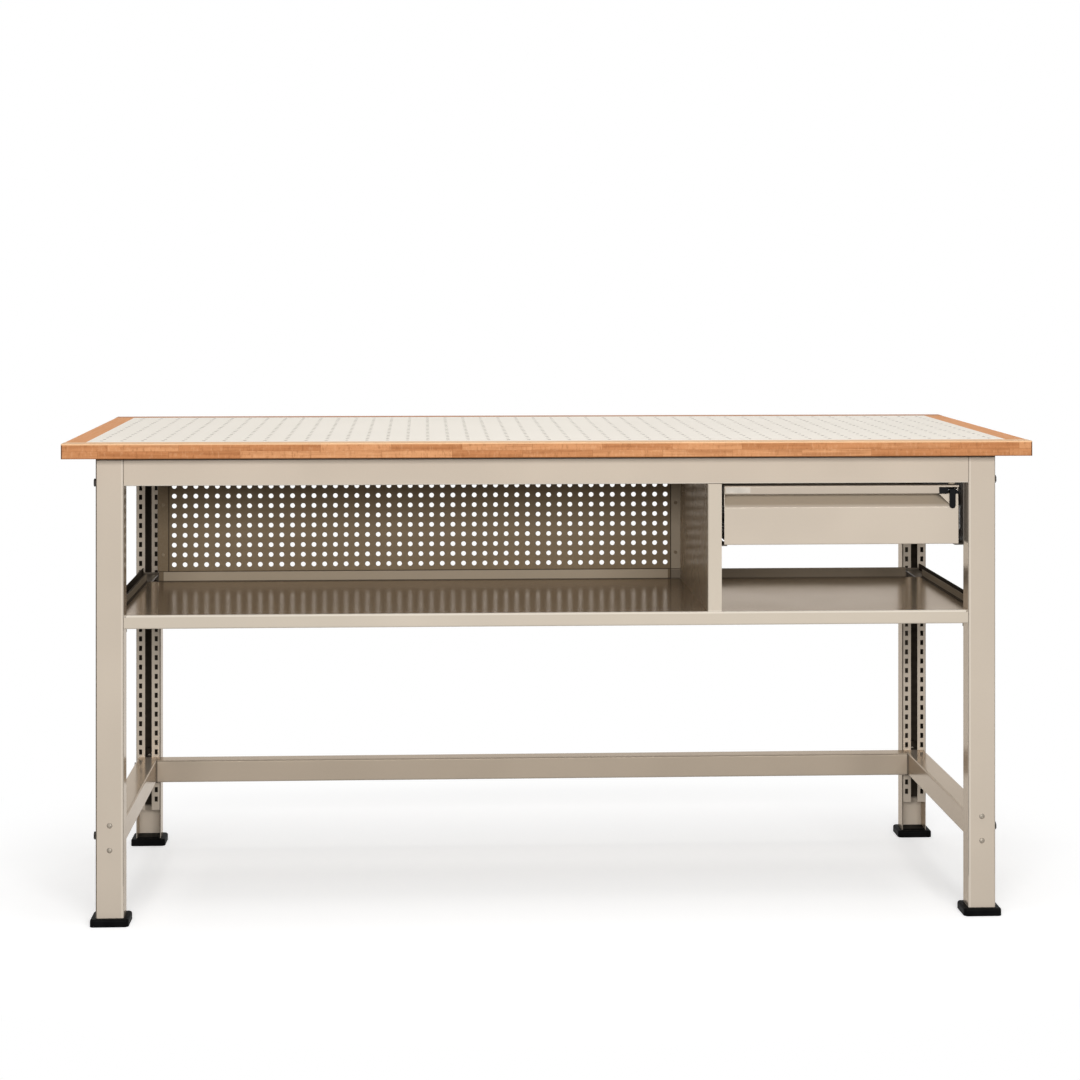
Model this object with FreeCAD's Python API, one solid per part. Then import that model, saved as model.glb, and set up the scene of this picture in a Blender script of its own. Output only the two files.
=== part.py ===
import FreeCAD, Part
import math
import os

# Workbench: a wood-edged perforated top on a frame of slotted steel legs, with a
# shelf, a perforated back panel, a divider and a latched drawer on ball slides.
# Millimetres. X runs to the right, Y to the rear, Z up from the floor.
# The origin lies on the floor below the middle of the worktop.

V = FreeCAD.Vector

# Worktop
TOP_WIDTH = 1800.0
TOP_DEPTH = 750.0
BENCH_HEIGHT = 900.0
TOP_THICKNESS = 28.0
BAND_WIDTH = 40.0
BAND_ARRIS = 1.5
PANEL_THICKNESS = 4.0
TOP_HOLE_DIAMETER = 6.5
TOP_HOLE_PITCH = 38.0
TOP_HOLE_MARGIN = 18.0

# Legs and feet
SIDE_OVERHANG = 55.0
FRONT_OVERHANG = 55.0
REAR_OVERHANG = 83.0
LEG_WIDTH = 52.0
LEG_DEPTH = 42.0
LEG_WALL = 2.0
LEG_BEND = 1.5
LIP_GAP = 14.0
LIP_CUTAWAY = 60.0
SLOT_WIDTH = 6.5
SLOT_HEIGHT = 11.0
SLOT_PITCH = 20.0
SLOT_ABOVE_LIP = 23.0
SLOT_TOP_MARGIN = 12.0
FOOT_HEIGHT = 14.0
FOOT_MARGIN = 10.0
FOOT_CORNER = 8.0
FOOT_ROUND = 4.0
FOOT_PLUG = 1.5
FOOT_PLAY = 0.2

# Stretchers, top rails and the bars that run from them into the legs
RAIL_WIDTH = 42.0
RAIL_HEIGHT = 46.0
RAIL_WALL = 2.0
RAIL_ROUND = 3.0
STRETCHER_BOTTOM = 140.0
BAR_PLAY = 1.0
BAR_MARGIN = 13.0
BAR_BLOCK_DEPTH = 16.0
REAR_STRETCHER_DEPTH = 35.0
END_PLATE = 3.0

# Aprons
APRON_HEIGHT = 55.0
APRON_SHEET = 1.5
APRON_TOP_FLANGE = 40.0
APRON_LOWER_FLANGE = 25.0
APRON_SEAM = 0.4

# Sheet metal of the shelf, divider and brackets
SHEET = 1.5
SHEET_BEND = 1.5

# Shelf and its rails
SHELF_HEIGHT = 576.5
SHELF_DEPTH = 440.5
SHELF_LIP = 25.5
SHELF_RETURN = 14.0
SHELF_END_GAP = 0.5
SHELF_SIDE_REACH = 13.0
SHELF_SIDE_UPSTAND = 16.0
SHELF_REAR_UPSTAND = 20.5
SHELF_NOTCH = 4.0
UPSTAND_END_GAP = 21.5
UPSTAND_SPLIT_GAP = 6.0
LEG_CLEARANCE = 4.0
SHELF_RAIL_FLANGE = 32.0
SHELF_RAIL_START = 4.0
SHELF_RAIL_SHEET = 2.0
SHELF_RAIL_RISE = 12.0
SHELF_RAIL_DROP = 30.0
SHELF_TAB = 3.0
SHELF_TAB_RISE = 3.0
SHELF_TAB_DROP = 36.0

# Perforated back panel and its bracket
BACK_HOLE_DIAMETER = 9.7
BACK_HOLE_PITCH_X = 22.1
BACK_HOLE_PITCH_Z = 20.2
BACK_HOLE_SIDE_MARGIN = 11.0
BACK_HOLE_FIRST_ROW = 34.4
BACK_HOLE_TOP_MARGIN = 28.0
BACK_PANEL_OVERLAP = 1.0
BACK_PANEL_HEADROOM = 4.0
BRACKET_FLANGE = 22.0
BRACKET_RETURN = 25.0
BRACKET_OFFSET = 10.0
BRACKET_PLAY = 2.0

# Divider
DIVIDER_GAP = 18.0
DIVIDER_FRONT_FLANGE = 26.0
DIVIDER_REAR_FLANGE = 20.5
DIVIDER_TAB = 18.0
DIVIDER_TAB_INSET = 60.0
NOTCH_PLAY = 2.0

# Drawer hangers
HANGER_GAP = 6.0
HANGER_SHEET = 2.0
HANGER_FLANGE = 21.0
HANGER_LIP = 16.0
HANGER_SETBACK = 8.0
HANGER_LENGTH = 412.0
HANGER_BELOW_DRAWER = 2.5

# Ball slides
SLIDE_WIDTH = 17.5
SLIDE_HEIGHT = 45.0
SLIDE_LENGTH = 380.0
SLIDE_SETBACK = 34.0
SLIDE_METAL = 1.2
SLIDE_BEND = 0.4
SLIDE_RISE = 46.0
SLIDE_LIP_PLAY = 2.0
SLIDE_BACK_PLAY = 3.5
BALL_DIAMETER = 4.4
BALL_PLAY = 0.3
BALL_PITCH = 14.0
CAGE_METAL = 0.8
CAGE_PLAY = 0.35
CAGE_LENGTH = 150.0
CAGE_POCKET_PLAY = 0.15
CAGE_MARGIN = 12.0

# Drawer
TRAY_WIDTH = 430.0
TRAY_DEPTH = 392.0
TRAY_HEIGHT = 88.0
TRAY_METAL = 1.2
TRAY_BEND = 1.2
DRAWER_TOP_GAP = 4.7
DRAWER_FRONT_HEIGHT = 111.3
DRAWER_FRONT_OVERLAP = 7.5
DRAWER_SETBACK = 4.0
DRAWER_FLAT_HEIGHT = 70.5
RECESS_DEPTH = 24.0
RECESS_RISE = 21.0
DRAWER_RETURN = 48.0
HANDLE_FACE = 15.8
HANDLE_METAL = 1.5
HANDLE_HEM = 7.0
HANDLE_STRIP_FACE = 3.3
HANDLE_STRIP_DEPTH = 10.0
LABEL_WIDTH = 46.0
LABEL_HEIGHT = 11.0
LABEL_THICKNESS = 0.6
LABEL_INSET = 2.5

# Drawer latch
LATCH_WIDTH = 36.5
LATCH_PROUD = 1.0
LATCH_HEIGHT = 12.3
LATCH_TAPER_WIDTH = 14.0
LATCH_TAPER_HEIGHT = 7.0
LATCH_BACK_WALL = 1.2
LATCH_PLAY = 0.3
LATCH_CHEEK = 4.5
LEVER_WIDTH = 11.0
LEVER_THICKNESS = 4.0
LEVER_DROP = 34.0
LEVER_PLAY = 0.5
PIN_DIAMETER = 4.0
PIN_PLAY = 0.05
PIN_SETBACK = 12.0
PIN_BELOW_TOP = 8.3
HUB_DIAMETER = 9.0
ARM_THICKNESS = 5.0
NOSE_THICKNESS = 4.5
NOSE_REACH = 10.5
NOSE_GAP = 0.6
KEEPER_LIP = 4.0
KEEPER_SHEET = 2.5
KEEPER_FOOT = 12.0
KEEPER_PLAY = 1.0
SPRING_LENGTH = 3.2
SPRING_DIAMETER = 7.0
GUSSET_WIDTH = 36.0
GUSSET_SLOPE_WIDTH = 26.0
GUSSET_SETBACK = 1.0

# Fasteners
WEB_BOLT = 6.0
WEB_BOLT_HEAD = 10.5
WEB_BOLT_LENGTH = 24.0
SIDE_BOLT = 8.0
SIDE_BOLT_HEAD = 13.0
SIDE_BOLT_HEAD_HEIGHT = 5.5
SIDE_BOLT_LENGTH = 30.0
UPPER_SIDE_BOLT_DROP = 50.0
FRAME_BOLT = 6.0
FRAME_BOLT_HEAD = 10.5
FRAME_BOLT_LENGTH = 10.0
FRAME_BOLT_SPACING = 22.0
NUT_HEIGHT = 4.0
WOOD_SCREW = 5.0
WOOD_SCREW_HEAD = 9.5
WOOD_SCREW_LENGTH = 18.0
WOOD_SCREW_SPACING = 350.0
SHEET_SCREW = 4.0
SHEET_SCREW_HEAD = 7.0
SHEET_SCREW_LENGTH = 6.0
RIVET = 5.0
RIVET_HEAD = 9.0
RIVET_HEAD_HEIGHT = 1.6
HEAD_HEIGHT_SHARE = 0.26
SOCKET_WIDTH_SHARE = 0.42
SOCKET_DEPTH_SHARE = 0.6
NUT_WIDTH_SHARE = 1.65
APRON_SCREW_SHARE = 2 / 3
HANGER_SCREW_SHARES = (1 / 4, 7 / 8)
DIVIDER_SCREW_SHARES = (1 / 6, 5 / 6)
PANEL_SCREW_SHARES = (1 / 8, 1 / 2, 7 / 8)
DRAWER_SCREW_SHARES = (1 / 18, 17 / 18)
RIVET_SHARES = (1 / 6, 1 / 2, 5 / 6)
THROUGH_PLAY = 0.3
THREAD_PLAY = 0.05

# One overrun lets every cutter pass the face that it opens
OVERRUN = 1.0

# A pitch that divides a length evenly is not lost to rounding
ROUNDING_SHARE = 1e-6

# Planes and places that the sizes above give
UNDER_Z = BENCH_HEIGHT - TOP_THICKNESS
LEG_OUT_X = TOP_WIDTH / 2 - SIDE_OVERHANG
LEG_IN_X = LEG_OUT_X - LEG_WIDTH
LEG_MID_X = LEG_OUT_X - LEG_WIDTH / 2
LIP_WIDTH = (LEG_WIDTH - LIP_GAP) / 2
FRONT_Y = FRONT_OVERHANG - TOP_DEPTH / 2
REAR_Y = TOP_DEPTH / 2 - REAR_OVERHANG
FRAME_MID_Y = (FRONT_Y + REAR_Y) / 2
FRONT_LIP_Y = FRONT_Y + LEG_DEPTH
REAR_LIP_Y = REAR_Y - LEG_DEPTH
LIP_BOTTOM_Z = FOOT_HEIGHT + LIP_CUTAWAY
FIRST_SLOT_Z = LIP_BOTTOM_Z + SLOT_ABOVE_LIP
STRETCHER_TOP = STRETCHER_BOTTOM + RAIL_HEIGHT
RAIL_IN_X = LEG_MID_X - RAIL_WIDTH / 2
APRON_END_X = LEG_IN_X - APRON_SEAM
APRON_BOTTOM_Z = UNDER_Z - APRON_HEIGHT
UPPER_BOLT_Z = UNDER_Z - UPPER_SIDE_BOLT_DROP
LOWER_BOLT_Z = STRETCHER_BOTTOM + RAIL_HEIGHT / 2
SHELF_REAR_Y = FRONT_Y + SHELF_DEPTH
SHELF_END_X = LEG_IN_X - SHELF_END_GAP
SHELF_SIDE_X = LEG_IN_X + SHELF_SIDE_REACH
SHELF_SIDE_FRONT_Y = FRONT_LIP_Y + LEG_CLEARANCE
UPSTAND_END_X = LEG_IN_X - UPSTAND_END_GAP
SHELF_UNDER_Z = SHELF_HEIGHT - SHEET
SHELF_RAIL_IN_X = LEG_IN_X + SHELF_RAIL_START
SHELF_RAIL_OUT_X = SHELF_RAIL_IN_X + SHELF_RAIL_FLANGE
HANGER_OUT_X = LEG_IN_X - HANGER_GAP
HANGER_IN_X = HANGER_OUT_X - HANGER_SHEET
TRAY_RIGHT_X = HANGER_IN_X - SLIDE_WIDTH
TRAY_LEFT_X = TRAY_RIGHT_X - TRAY_WIDTH
DRAWER_MID_X = (TRAY_LEFT_X + TRAY_RIGHT_X) / 2
LEFT_HANGER_IN_X = TRAY_LEFT_X - SLIDE_WIDTH
LEFT_HANGER_OUT_X = LEFT_HANGER_IN_X - HANGER_SHEET
DIVIDER_X = LEFT_HANGER_OUT_X - DIVIDER_GAP - SHEET
DRAWER_LEFT_X = TRAY_LEFT_X - DRAWER_FRONT_OVERLAP
DRAWER_RIGHT_X = TRAY_RIGHT_X + DRAWER_FRONT_OVERLAP
DRAWER_TOP_Z = APRON_BOTTOM_Z - DRAWER_TOP_GAP
DRAWER_BOTTOM_Z = DRAWER_TOP_Z - DRAWER_FRONT_HEIGHT
DRAWER_FACE_Y = FRONT_Y + DRAWER_SETBACK
RECESS_BACK_Y = DRAWER_FACE_Y + RECESS_DEPTH
RECESS_BOTTOM_Z = DRAWER_BOTTOM_Z + DRAWER_FLAT_HEIGHT
HANDLE_BOTTOM_Z = DRAWER_TOP_Z - HANDLE_FACE
HANDLE_UNDER_Z = DRAWER_TOP_Z - HANDLE_METAL
TRAY_FRONT_Y = RECESS_BACK_Y + TRAY_METAL
TRAY_REAR_Y = TRAY_FRONT_Y + TRAY_DEPTH
TRAY_BOTTOM_Z = DRAWER_BOTTOM_Z + TRAY_METAL
HANGER_FRONT_Y = FRONT_Y + HANGER_SETBACK
HANGER_REAR_Y = HANGER_FRONT_Y + HANGER_LENGTH
HANGER_BOTTOM_Z = DRAWER_BOTTOM_Z - HANGER_BELOW_DRAWER
SLIDE_FRONT_Y = FRONT_Y + SLIDE_SETBACK
SLIDE_REAR_Y = SLIDE_FRONT_Y + SLIDE_LENGTH
SLIDE_Z = TRAY_BOTTOM_Z + SLIDE_RISE
BRACKET_X = -LEG_IN_X + BRACKET_OFFSET
PANEL_LEFT_X = BRACKET_X + BRACKET_PLAY
PANEL_RIGHT_X = DIVIDER_X - BRACKET_PLAY
PANEL_FRONT_Y = SHELF_REAR_Y + SHEET


def box(x0, x1, y0, y1, z0, z1):
    """A block between two corners."""
    return Part.makeBox(x1 - x0, y1 - y0, z1 - z0, V(x0, y0, z0))


def rod(diameter, start, end):
    """A round bar from one point to another."""
    axis = end - start
    return Part.makeCylinder(diameter / 2, axis.Length, start, axis)


def fused(first, *others):
    """One clean solid out of pieces that meet."""
    return first.multiFuse(list(others)).removeSplitter()


def mirrored_x(shape, plane=0.0):
    """The same piece on the other side of a plane across X."""
    return shape.mirror(V(plane, 0, 0), V(1, 0, 0))


def mirrored_y(shape):
    """The same piece at the other end of the frame."""
    return shape.mirror(V(0, FRAME_MID_Y, 0), V(0, 1, 0))


def section_on_x(x):
    """Places a section drawn in Y and Z on the plane at x."""
    return lambda point: V(x, point.x, point.y)


def section_on_y(y):
    """Places a section drawn in X and Z on the plane at y."""
    return lambda point: V(point.x, y, point.y)


def section_on_z(z):
    """Places a section drawn in X and Y on the plane at z."""
    return lambda point: V(point.x, point.y, z)


def plate(points, place, run):
    """A flat plate of any outline, drawn out along run."""
    corners = [place(point) for point in points]
    return Part.Face(Part.makePolygon(corners + corners[:1])).extrude(run)


def folded(path, sheet, bend, place, run):
    """A folded sheet with the metal on the left of its path, drawn out along run."""
    heads = [(end - start).normalize() for start, end in zip(path, path[1:])]
    sides = [V(-head.y, head.x, 0) for head in heads]
    near_from = path[0]
    far_from = path[0] + sides[0] * sheet
    near = []
    far = []
    for corner, head, ahead, side, beside in zip(path[1:], heads, heads[1:], sides, sides[1:]):
        turn = math.atan2(head.cross(ahead).z, head.dot(ahead))
        sign = math.copysign(1, turn)
        near_radius = bend + sheet if turn > 0 else bend
        far_radius = near_radius - sign * sheet
        reach = near_radius * math.tan(abs(turn) / 2)
        start = corner - head * reach
        end = corner + ahead * reach
        centre = start + side * (sign * near_radius)
        crown = (corner - centre).normalize()
        far_start = start + side * sheet
        far_end = end + beside * sheet
        near.append(Part.LineSegment(place(near_from), place(start)))
        near.append(Part.Arc(place(start), place(centre + crown * near_radius), place(end)))
        far.append(Part.LineSegment(place(far_from), place(far_start)))
        far.append(Part.Arc(place(far_start), place(centre + crown * far_radius), place(far_end)))
        near_from = end
        far_from = far_end
    far_last = path[-1] + sides[-1] * sheet
    near.append(Part.LineSegment(place(near_from), place(path[-1])))
    far.append(Part.LineSegment(place(far_from), place(far_last)))
    caps = [Part.LineSegment(place(path[-1]), place(far_last)),
            Part.LineSegment(place(path[0] + sides[0] * sheet), place(path[0]))]
    edges = [curve.toShape() for curve in near + far + caps]
    return Part.Face(Part.Wire(Part.__sortEdges__(edges))).extrude(run)


def folded_x(path, sheet, bend, x0, x1):
    """A folded sheet whose section in Y and Z runs from x0 to x1."""
    return folded(path, sheet, bend, section_on_x(x0), V(x1 - x0, 0, 0))


def folded_y(path, sheet, bend, y0, y1):
    """A folded sheet whose section in X and Z runs from y0 to y1."""
    return folded(path, sheet, bend, section_on_y(y0), V(0, y1 - y0, 0))


def folded_z(path, sheet, bend, z0, z1):
    """A folded sheet whose section in X and Y runs from z0 to z1."""
    return folded(path, sheet, bend, section_on_z(z0), V(0, 0, z1 - z0))


def perforated(corners, holes, diameter, run):
    """A plate with round holes through it, all drawn out along run."""
    face = Part.Face(Part.makePolygon(corners + corners[:1]))
    inward = -face.normalAt(0, 0)
    face.cutHoles([Part.Wire(Part.Circle(hole, inward, diameter / 2).toShape()) for hole in holes])
    return face.extrude(run)


def evenly(start, end, pitch):
    """Places at one pitch, as many as fit, centred between two limits."""
    count = int((end - start) / pitch + ROUNDING_SHARE)
    first = (start + end - count * pitch) / 2
    return [first + step * pitch for step in range(count + 1)]


def hexagon(reach, z):
    """A level hexagon at height z whose corners lie at reach."""
    angles = [math.radians(60 * corner) for corner in range(6)]
    corners = [V(reach * math.cos(angle), reach * math.sin(angle), z) for angle in angles]
    return Part.Face(Part.makePolygon(corners + corners[:1]))


def button_bolt(diameter, head, length, seat, axis):
    """A button-head socket bolt whose head lies behind the seat and whose shank runs along axis."""
    height = head * HEAD_HEIGHT_SHARE
    crown = head / 2
    ball = (crown * crown + height * height) / (2 * height)
    dome = Part.makeSphere(ball, V(0, 0, ball - height))
    cap = Part.makeCylinder(crown, height, V(0, 0, -height)).common(dome)
    socket = hexagon(diameter * SOCKET_WIDTH_SHARE, -height)
    cap = cap.cut(socket.extrude(V(0, 0, height * SOCKET_DEPTH_SHARE)))
    bolt = fused(cap, Part.makeCylinder(diameter / 2, length))
    bolt.Placement = FreeCAD.Placement(seat, FreeCAD.Rotation(V(0, 0, 1), axis))
    return bolt


def hex_bolt(diameter, head, height, length, seat, axis):
    """A hexagon-head bolt whose head lies behind the seat and whose shank runs along axis."""
    cap = hexagon(head / math.sqrt(3), -height).extrude(V(0, 0, height))
    bolt = fused(cap, Part.makeCylinder(diameter / 2, length))
    bolt.Placement = FreeCAD.Placement(seat, FreeCAD.Rotation(V(0, 0, 1), axis))
    return bolt


def hex_nut(diameter, seat, axis):
    """A hexagon nut that bears on the seat and stands off along axis."""
    nut = hexagon(diameter * NUT_WIDTH_SHARE / math.sqrt(3), 0).extrude(V(0, 0, NUT_HEIGHT))
    nut = nut.cut(Part.makeCylinder(diameter / 2 + THREAD_PLAY, NUT_HEIGHT))
    nut.Placement = FreeCAD.Placement(seat, FreeCAD.Rotation(V(0, 0, 1), axis))
    return nut


def holes_for(places, diameter, play, reach):
    """Cutters for bolts: each place is a seat and an axis, opened both ways by reach."""
    return [rod(diameter + 2 * play, seat - axis * reach, seat + axis * reach) for seat, axis in places]


def mirror_places(places):
    """The same seats and axes on the other side of the bench."""
    return places + [(V(-seat.x, seat.y, seat.z), V(-axis.x, axis.y, axis.z)) for seat, axis in places]


def right_places(places):
    """The same seats and axes at both right-hand legs."""
    return places + [(V(seat.x, 2 * FRAME_MID_Y - seat.y, seat.z), V(axis.x, -axis.y, axis.z))
                     for seat, axis in places]


def frame_places(places):
    """The same seats and axes at all four legs."""
    return mirror_places(right_places(places))


def web_bolt_places():
    """Two bolts through the web of the front right leg into the stretcher's bar."""
    return [(V(LEG_MID_X, FRONT_Y, z), V(0, 1, 0)) for z in (STRETCHER_BOTTOM, STRETCHER_TOP)]


def side_bolt_places():
    """Bolts through the outer wall of the front right leg, at the stretcher and at the top rail."""
    middle_y = FRONT_Y + LEG_DEPTH / 2
    return [(V(LEG_OUT_X, middle_y, z), V(-1, 0, 0)) for z in (LOWER_BOLT_Z, UPPER_BOLT_Z)]


def apron_bolt_places():
    """Bolts through the front apron's right end plate into the leg's inner wall."""
    middle_z = UNDER_Z - APRON_HEIGHT / 2
    seat_x = APRON_END_X - END_PLATE
    heights = (middle_z - FRAME_BOLT_SPACING / 2, middle_z + FRAME_BOLT_SPACING / 2)
    return [(V(seat_x, FRONT_Y + LEG_DEPTH / 2, z), V(1, 0, 0)) for z in heights]


def stretcher_bolt_places():
    """Bolts through the rear stretcher's right end plate into the side stretcher."""
    middle_z = STRETCHER_BOTTOM + RAIL_HEIGHT / 2
    middle_y = REAR_LIP_Y - REAR_STRETCHER_DEPTH / 2
    heights = (middle_z - FRAME_BOLT_SPACING / 2, middle_z + FRAME_BOLT_SPACING / 2)
    return [(V(RAIL_IN_X - END_PLATE, middle_y, z), V(1, 0, 0)) for z in heights]


def slot_rows():
    """Heights of the slots in the legs' lips."""
    room = UNDER_Z - SLOT_TOP_MARGIN - SLOT_HEIGHT / 2 - FIRST_SLOT_Z
    return [FIRST_SLOT_Z + row * SLOT_PITCH for row in range(int(room / SLOT_PITCH) + 1)]


def shelf_bolt_places():
    """The bolt that holds the shelf rail's front tab in a slot of the right leg's inner lip."""
    target = SHELF_UNDER_Z - SHELF_TAB_DROP + FRAME_BOLT_HEAD
    height = min(slot_rows(), key=lambda row: abs(row - target))
    return [(V(LEG_IN_X + LIP_WIDTH / 2, FRONT_LIP_Y + SHELF_TAB, height), V(0, -1, 0))]


def apron_screw_places():
    """Wood screws up through both aprons' top flanges into the worktop."""
    spread = evenly(-APRON_END_X + LEG_WIDTH, APRON_END_X - LEG_WIDTH, WOOD_SCREW_SPACING)
    depth = APRON_TOP_FLANGE * APRON_SCREW_SHARE
    rows = (FRONT_Y + depth, REAR_Y - depth)
    return [(V(x, y, UNDER_Z - APRON_SHEET), V(0, 0, 1)) for y in rows for x in spread]


def hanger_screw_places():
    """Wood screws up through the hangers' top flanges."""
    offset = HANGER_SHEET + (HANGER_FLANGE - HANGER_SHEET) / 2
    columns = (LEFT_HANGER_OUT_X + offset, HANGER_OUT_X - offset)
    rows = [HANGER_FRONT_Y + HANGER_LENGTH * share for share in HANGER_SCREW_SHARES]
    return [(V(x, y, UNDER_Z - HANGER_SHEET), V(0, 0, 1)) for x in columns for y in rows]


def divider_tab_rows():
    """Where the screws of the divider's tabs lie from front to rear."""
    length = SHELF_DEPTH - 2 * DIVIDER_TAB_INSET
    return [FRONT_Y + DIVIDER_TAB_INSET + length * share for share in DIVIDER_SCREW_SHARES]


def divider_tab_x():
    """The middle of the divider's tabs."""
    return DIVIDER_X + SHEET + DIVIDER_TAB / 2


def tab_screw_places():
    """Wood screws up through the divider's top tab and the panel bracket's tab."""
    places = [(V(divider_tab_x(), y, UNDER_Z - SHEET), V(0, 0, 1)) for y in divider_tab_rows()]
    bracket = V(BRACKET_X + BRACKET_FLANGE / 2, PANEL_FRONT_Y + BRACKET_RETURN / 2, UNDER_Z - SHEET)
    return places + [(bracket, V(0, 0, 1))]


def shelf_screw_places():
    """Screws down through the divider's foot into the shelf."""
    return [(V(divider_tab_x(), y, SHELF_HEIGHT + SHEET), V(0, 0, -1)) for y in divider_tab_rows()]


def panel_screw_places():
    """Screws through the bracket and the divider's rear flange into the back panel."""
    columns = (BRACKET_X + BRACKET_FLANGE / 2, DIVIDER_X - DIVIDER_REAR_FLANGE / 2)
    bottom = SHELF_HEIGHT + SHELF_REAR_UPSTAND
    rise = UNDER_Z - bottom
    rows = [bottom + rise * share for share in PANEL_SCREW_SHARES]
    return [(V(x, SHELF_REAR_Y, z), V(0, 1, 0)) for x in columns for z in rows]


def drawer_screw_places():
    """Screws up through the front's lower return into the tray."""
    y = TRAY_FRONT_Y + TRAY_METAL + SHEET_SCREW_HEAD
    columns = [TRAY_LEFT_X + TRAY_WIDTH * share for share in DRAWER_SCREW_SHARES]
    return [(V(x, y, DRAWER_BOTTOM_Z), V(0, 0, 1)) for x in columns]


def worktop_screw_places():
    """Every wood screw that enters the worktop from below."""
    return apron_screw_places() + hanger_screw_places() + tab_screw_places()


def worktop_core():
    """The board under the perforated panel, with pilot holes for the screws."""
    half_width = TOP_WIDTH / 2 - BAND_WIDTH
    half_depth = TOP_DEPTH / 2 - BAND_WIDTH
    board = box(-half_width, half_width, -half_depth, half_depth, UNDER_Z, BENCH_HEIGHT - PANEL_THICKNESS)
    pilots = holes_for(worktop_screw_places(), WOOD_SCREW, THREAD_PLAY, WOOD_SCREW_LENGTH)
    return board.cut(pilots)


def worktop_panel():
    """The perforated working face, let in between the wooden bands."""
    half_width = TOP_WIDTH / 2 - BAND_WIDTH
    half_depth = TOP_DEPTH / 2 - BAND_WIDTH
    z = BENCH_HEIGHT - PANEL_THICKNESS
    corners = [V(-half_width, -half_depth, z), V(half_width, -half_depth, z),
               V(half_width, half_depth, z), V(-half_width, half_depth, z)]
    columns = evenly(TOP_HOLE_MARGIN - half_width, half_width - TOP_HOLE_MARGIN, TOP_HOLE_PITCH)
    rows = evenly(TOP_HOLE_MARGIN - half_depth, half_depth - TOP_HOLE_MARGIN, TOP_HOLE_PITCH)
    holes = [V(x, y, z) for x in columns for y in rows]
    return perforated(corners, holes, TOP_HOLE_DIAMETER, V(0, 0, PANEL_THICKNESS))


def eased(block, is_outer):
    """A band with its outer edges eased by hand, as the wood is."""
    edges = [edge for edge in block.Edges if is_outer(edge.CenterOfMass)]
    return block.makeFillet(BAND_ARRIS, edges)


def long_band(side):
    """The wooden band along the front (side -1) or the rear (side 1), over the full width."""
    outer = side * TOP_DEPTH / 2
    inner = side * (TOP_DEPTH / 2 - BAND_WIDTH)
    block = box(-TOP_WIDTH / 2, TOP_WIDTH / 2, min(outer, inner), max(outer, inner), UNDER_Z, BENCH_HEIGHT)
    return eased(block, lambda centre: abs(centre.y - outer) < BAND_ARRIS)


def end_band(side):
    """The wooden band along the left (side -1) or right (side 1) end, between the long bands."""
    outer = side * TOP_WIDTH / 2
    inner = side * (TOP_WIDTH / 2 - BAND_WIDTH)
    half_depth = TOP_DEPTH / 2 - BAND_WIDTH
    block = box(min(outer, inner), max(outer, inner), -half_depth, half_depth, UNDER_Z, BENCH_HEIGHT)

    def is_long_outer(centre):
        """True for the two long edges at the outside."""
        return abs(centre.x - outer) < BAND_ARRIS and abs(centre.y) < BAND_ARRIS
    return eased(block, is_long_outer)


def leg():
    """The front right leg: a channel with two slotted lips that face the rear."""
    path = [V(LEG_IN_X + LIP_WIDTH, FRONT_LIP_Y), V(LEG_IN_X, FRONT_LIP_Y), V(LEG_IN_X, FRONT_Y),
            V(LEG_OUT_X, FRONT_Y), V(LEG_OUT_X, FRONT_LIP_Y), V(LEG_OUT_X - LIP_WIDTH, FRONT_LIP_Y)]
    channel = folded_z(path, LEG_WALL, LEG_BEND, FOOT_HEIGHT, UNDER_Z)
    corner = LEG_WALL + LEG_BEND
    cutters = [box(LEG_IN_X + LEG_WALL, LEG_OUT_X - LEG_WALL, FRONT_LIP_Y - corner, FRONT_LIP_Y + OVERRUN,
                   FOOT_HEIGHT - OVERRUN, LIP_BOTTOM_Z)]
    for middle in (LEG_IN_X + LIP_WIDTH / 2, LEG_OUT_X - LIP_WIDTH / 2):
        for row in slot_rows():
            cutters.append(box(middle - SLOT_WIDTH / 2, middle + SLOT_WIDTH / 2,
                               FRONT_LIP_Y - LEG_WALL - OVERRUN, FRONT_LIP_Y + OVERRUN,
                               row - SLOT_HEIGHT / 2, row + SLOT_HEIGHT / 2))
    cutters += holes_for(web_bolt_places(), WEB_BOLT, THROUGH_PLAY, LEG_WALL + OVERRUN)
    cutters += holes_for(side_bolt_places(), SIDE_BOLT, THROUGH_PLAY, LEG_WALL + OVERRUN)
    cutters += holes_for(apron_bolt_places(), FRAME_BOLT, THROUGH_PLAY, END_PLATE + FRAME_BOLT_LENGTH)
    return channel.cut(cutters)


def foot():
    """The front right foot: a rounded pad with a low plug inside the leg."""
    x0 = LEG_IN_X - FOOT_MARGIN
    x1 = LEG_OUT_X + FOOT_MARGIN
    pad = box(x0, x1, FRONT_Y - FOOT_MARGIN, FRONT_LIP_Y + FOOT_MARGIN, 0, FOOT_HEIGHT)
    uprights = [edge for edge in pad.Edges if abs(edge.Vertexes[0].Z - edge.Vertexes[-1].Z) > FOOT_HEIGHT / 2]
    pad = pad.makeFillet(FOOT_CORNER, uprights)
    rim = [edge for edge in pad.Edges if edge.BoundBox.ZMin > FOOT_HEIGHT / 2]
    pad = pad.makeFillet(FOOT_ROUND, rim)
    inset = LEG_WALL + FOOT_PLAY
    corner = LEG_WALL + LEG_BEND
    plug = box(LEG_IN_X + inset, LEG_OUT_X - inset, FRONT_Y + corner, FRONT_LIP_Y - LEG_WALL,
               FOOT_HEIGHT - FOOT_ROUND, FOOT_HEIGHT + FOOT_PLUG)
    return fused(pad, plug)


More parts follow.
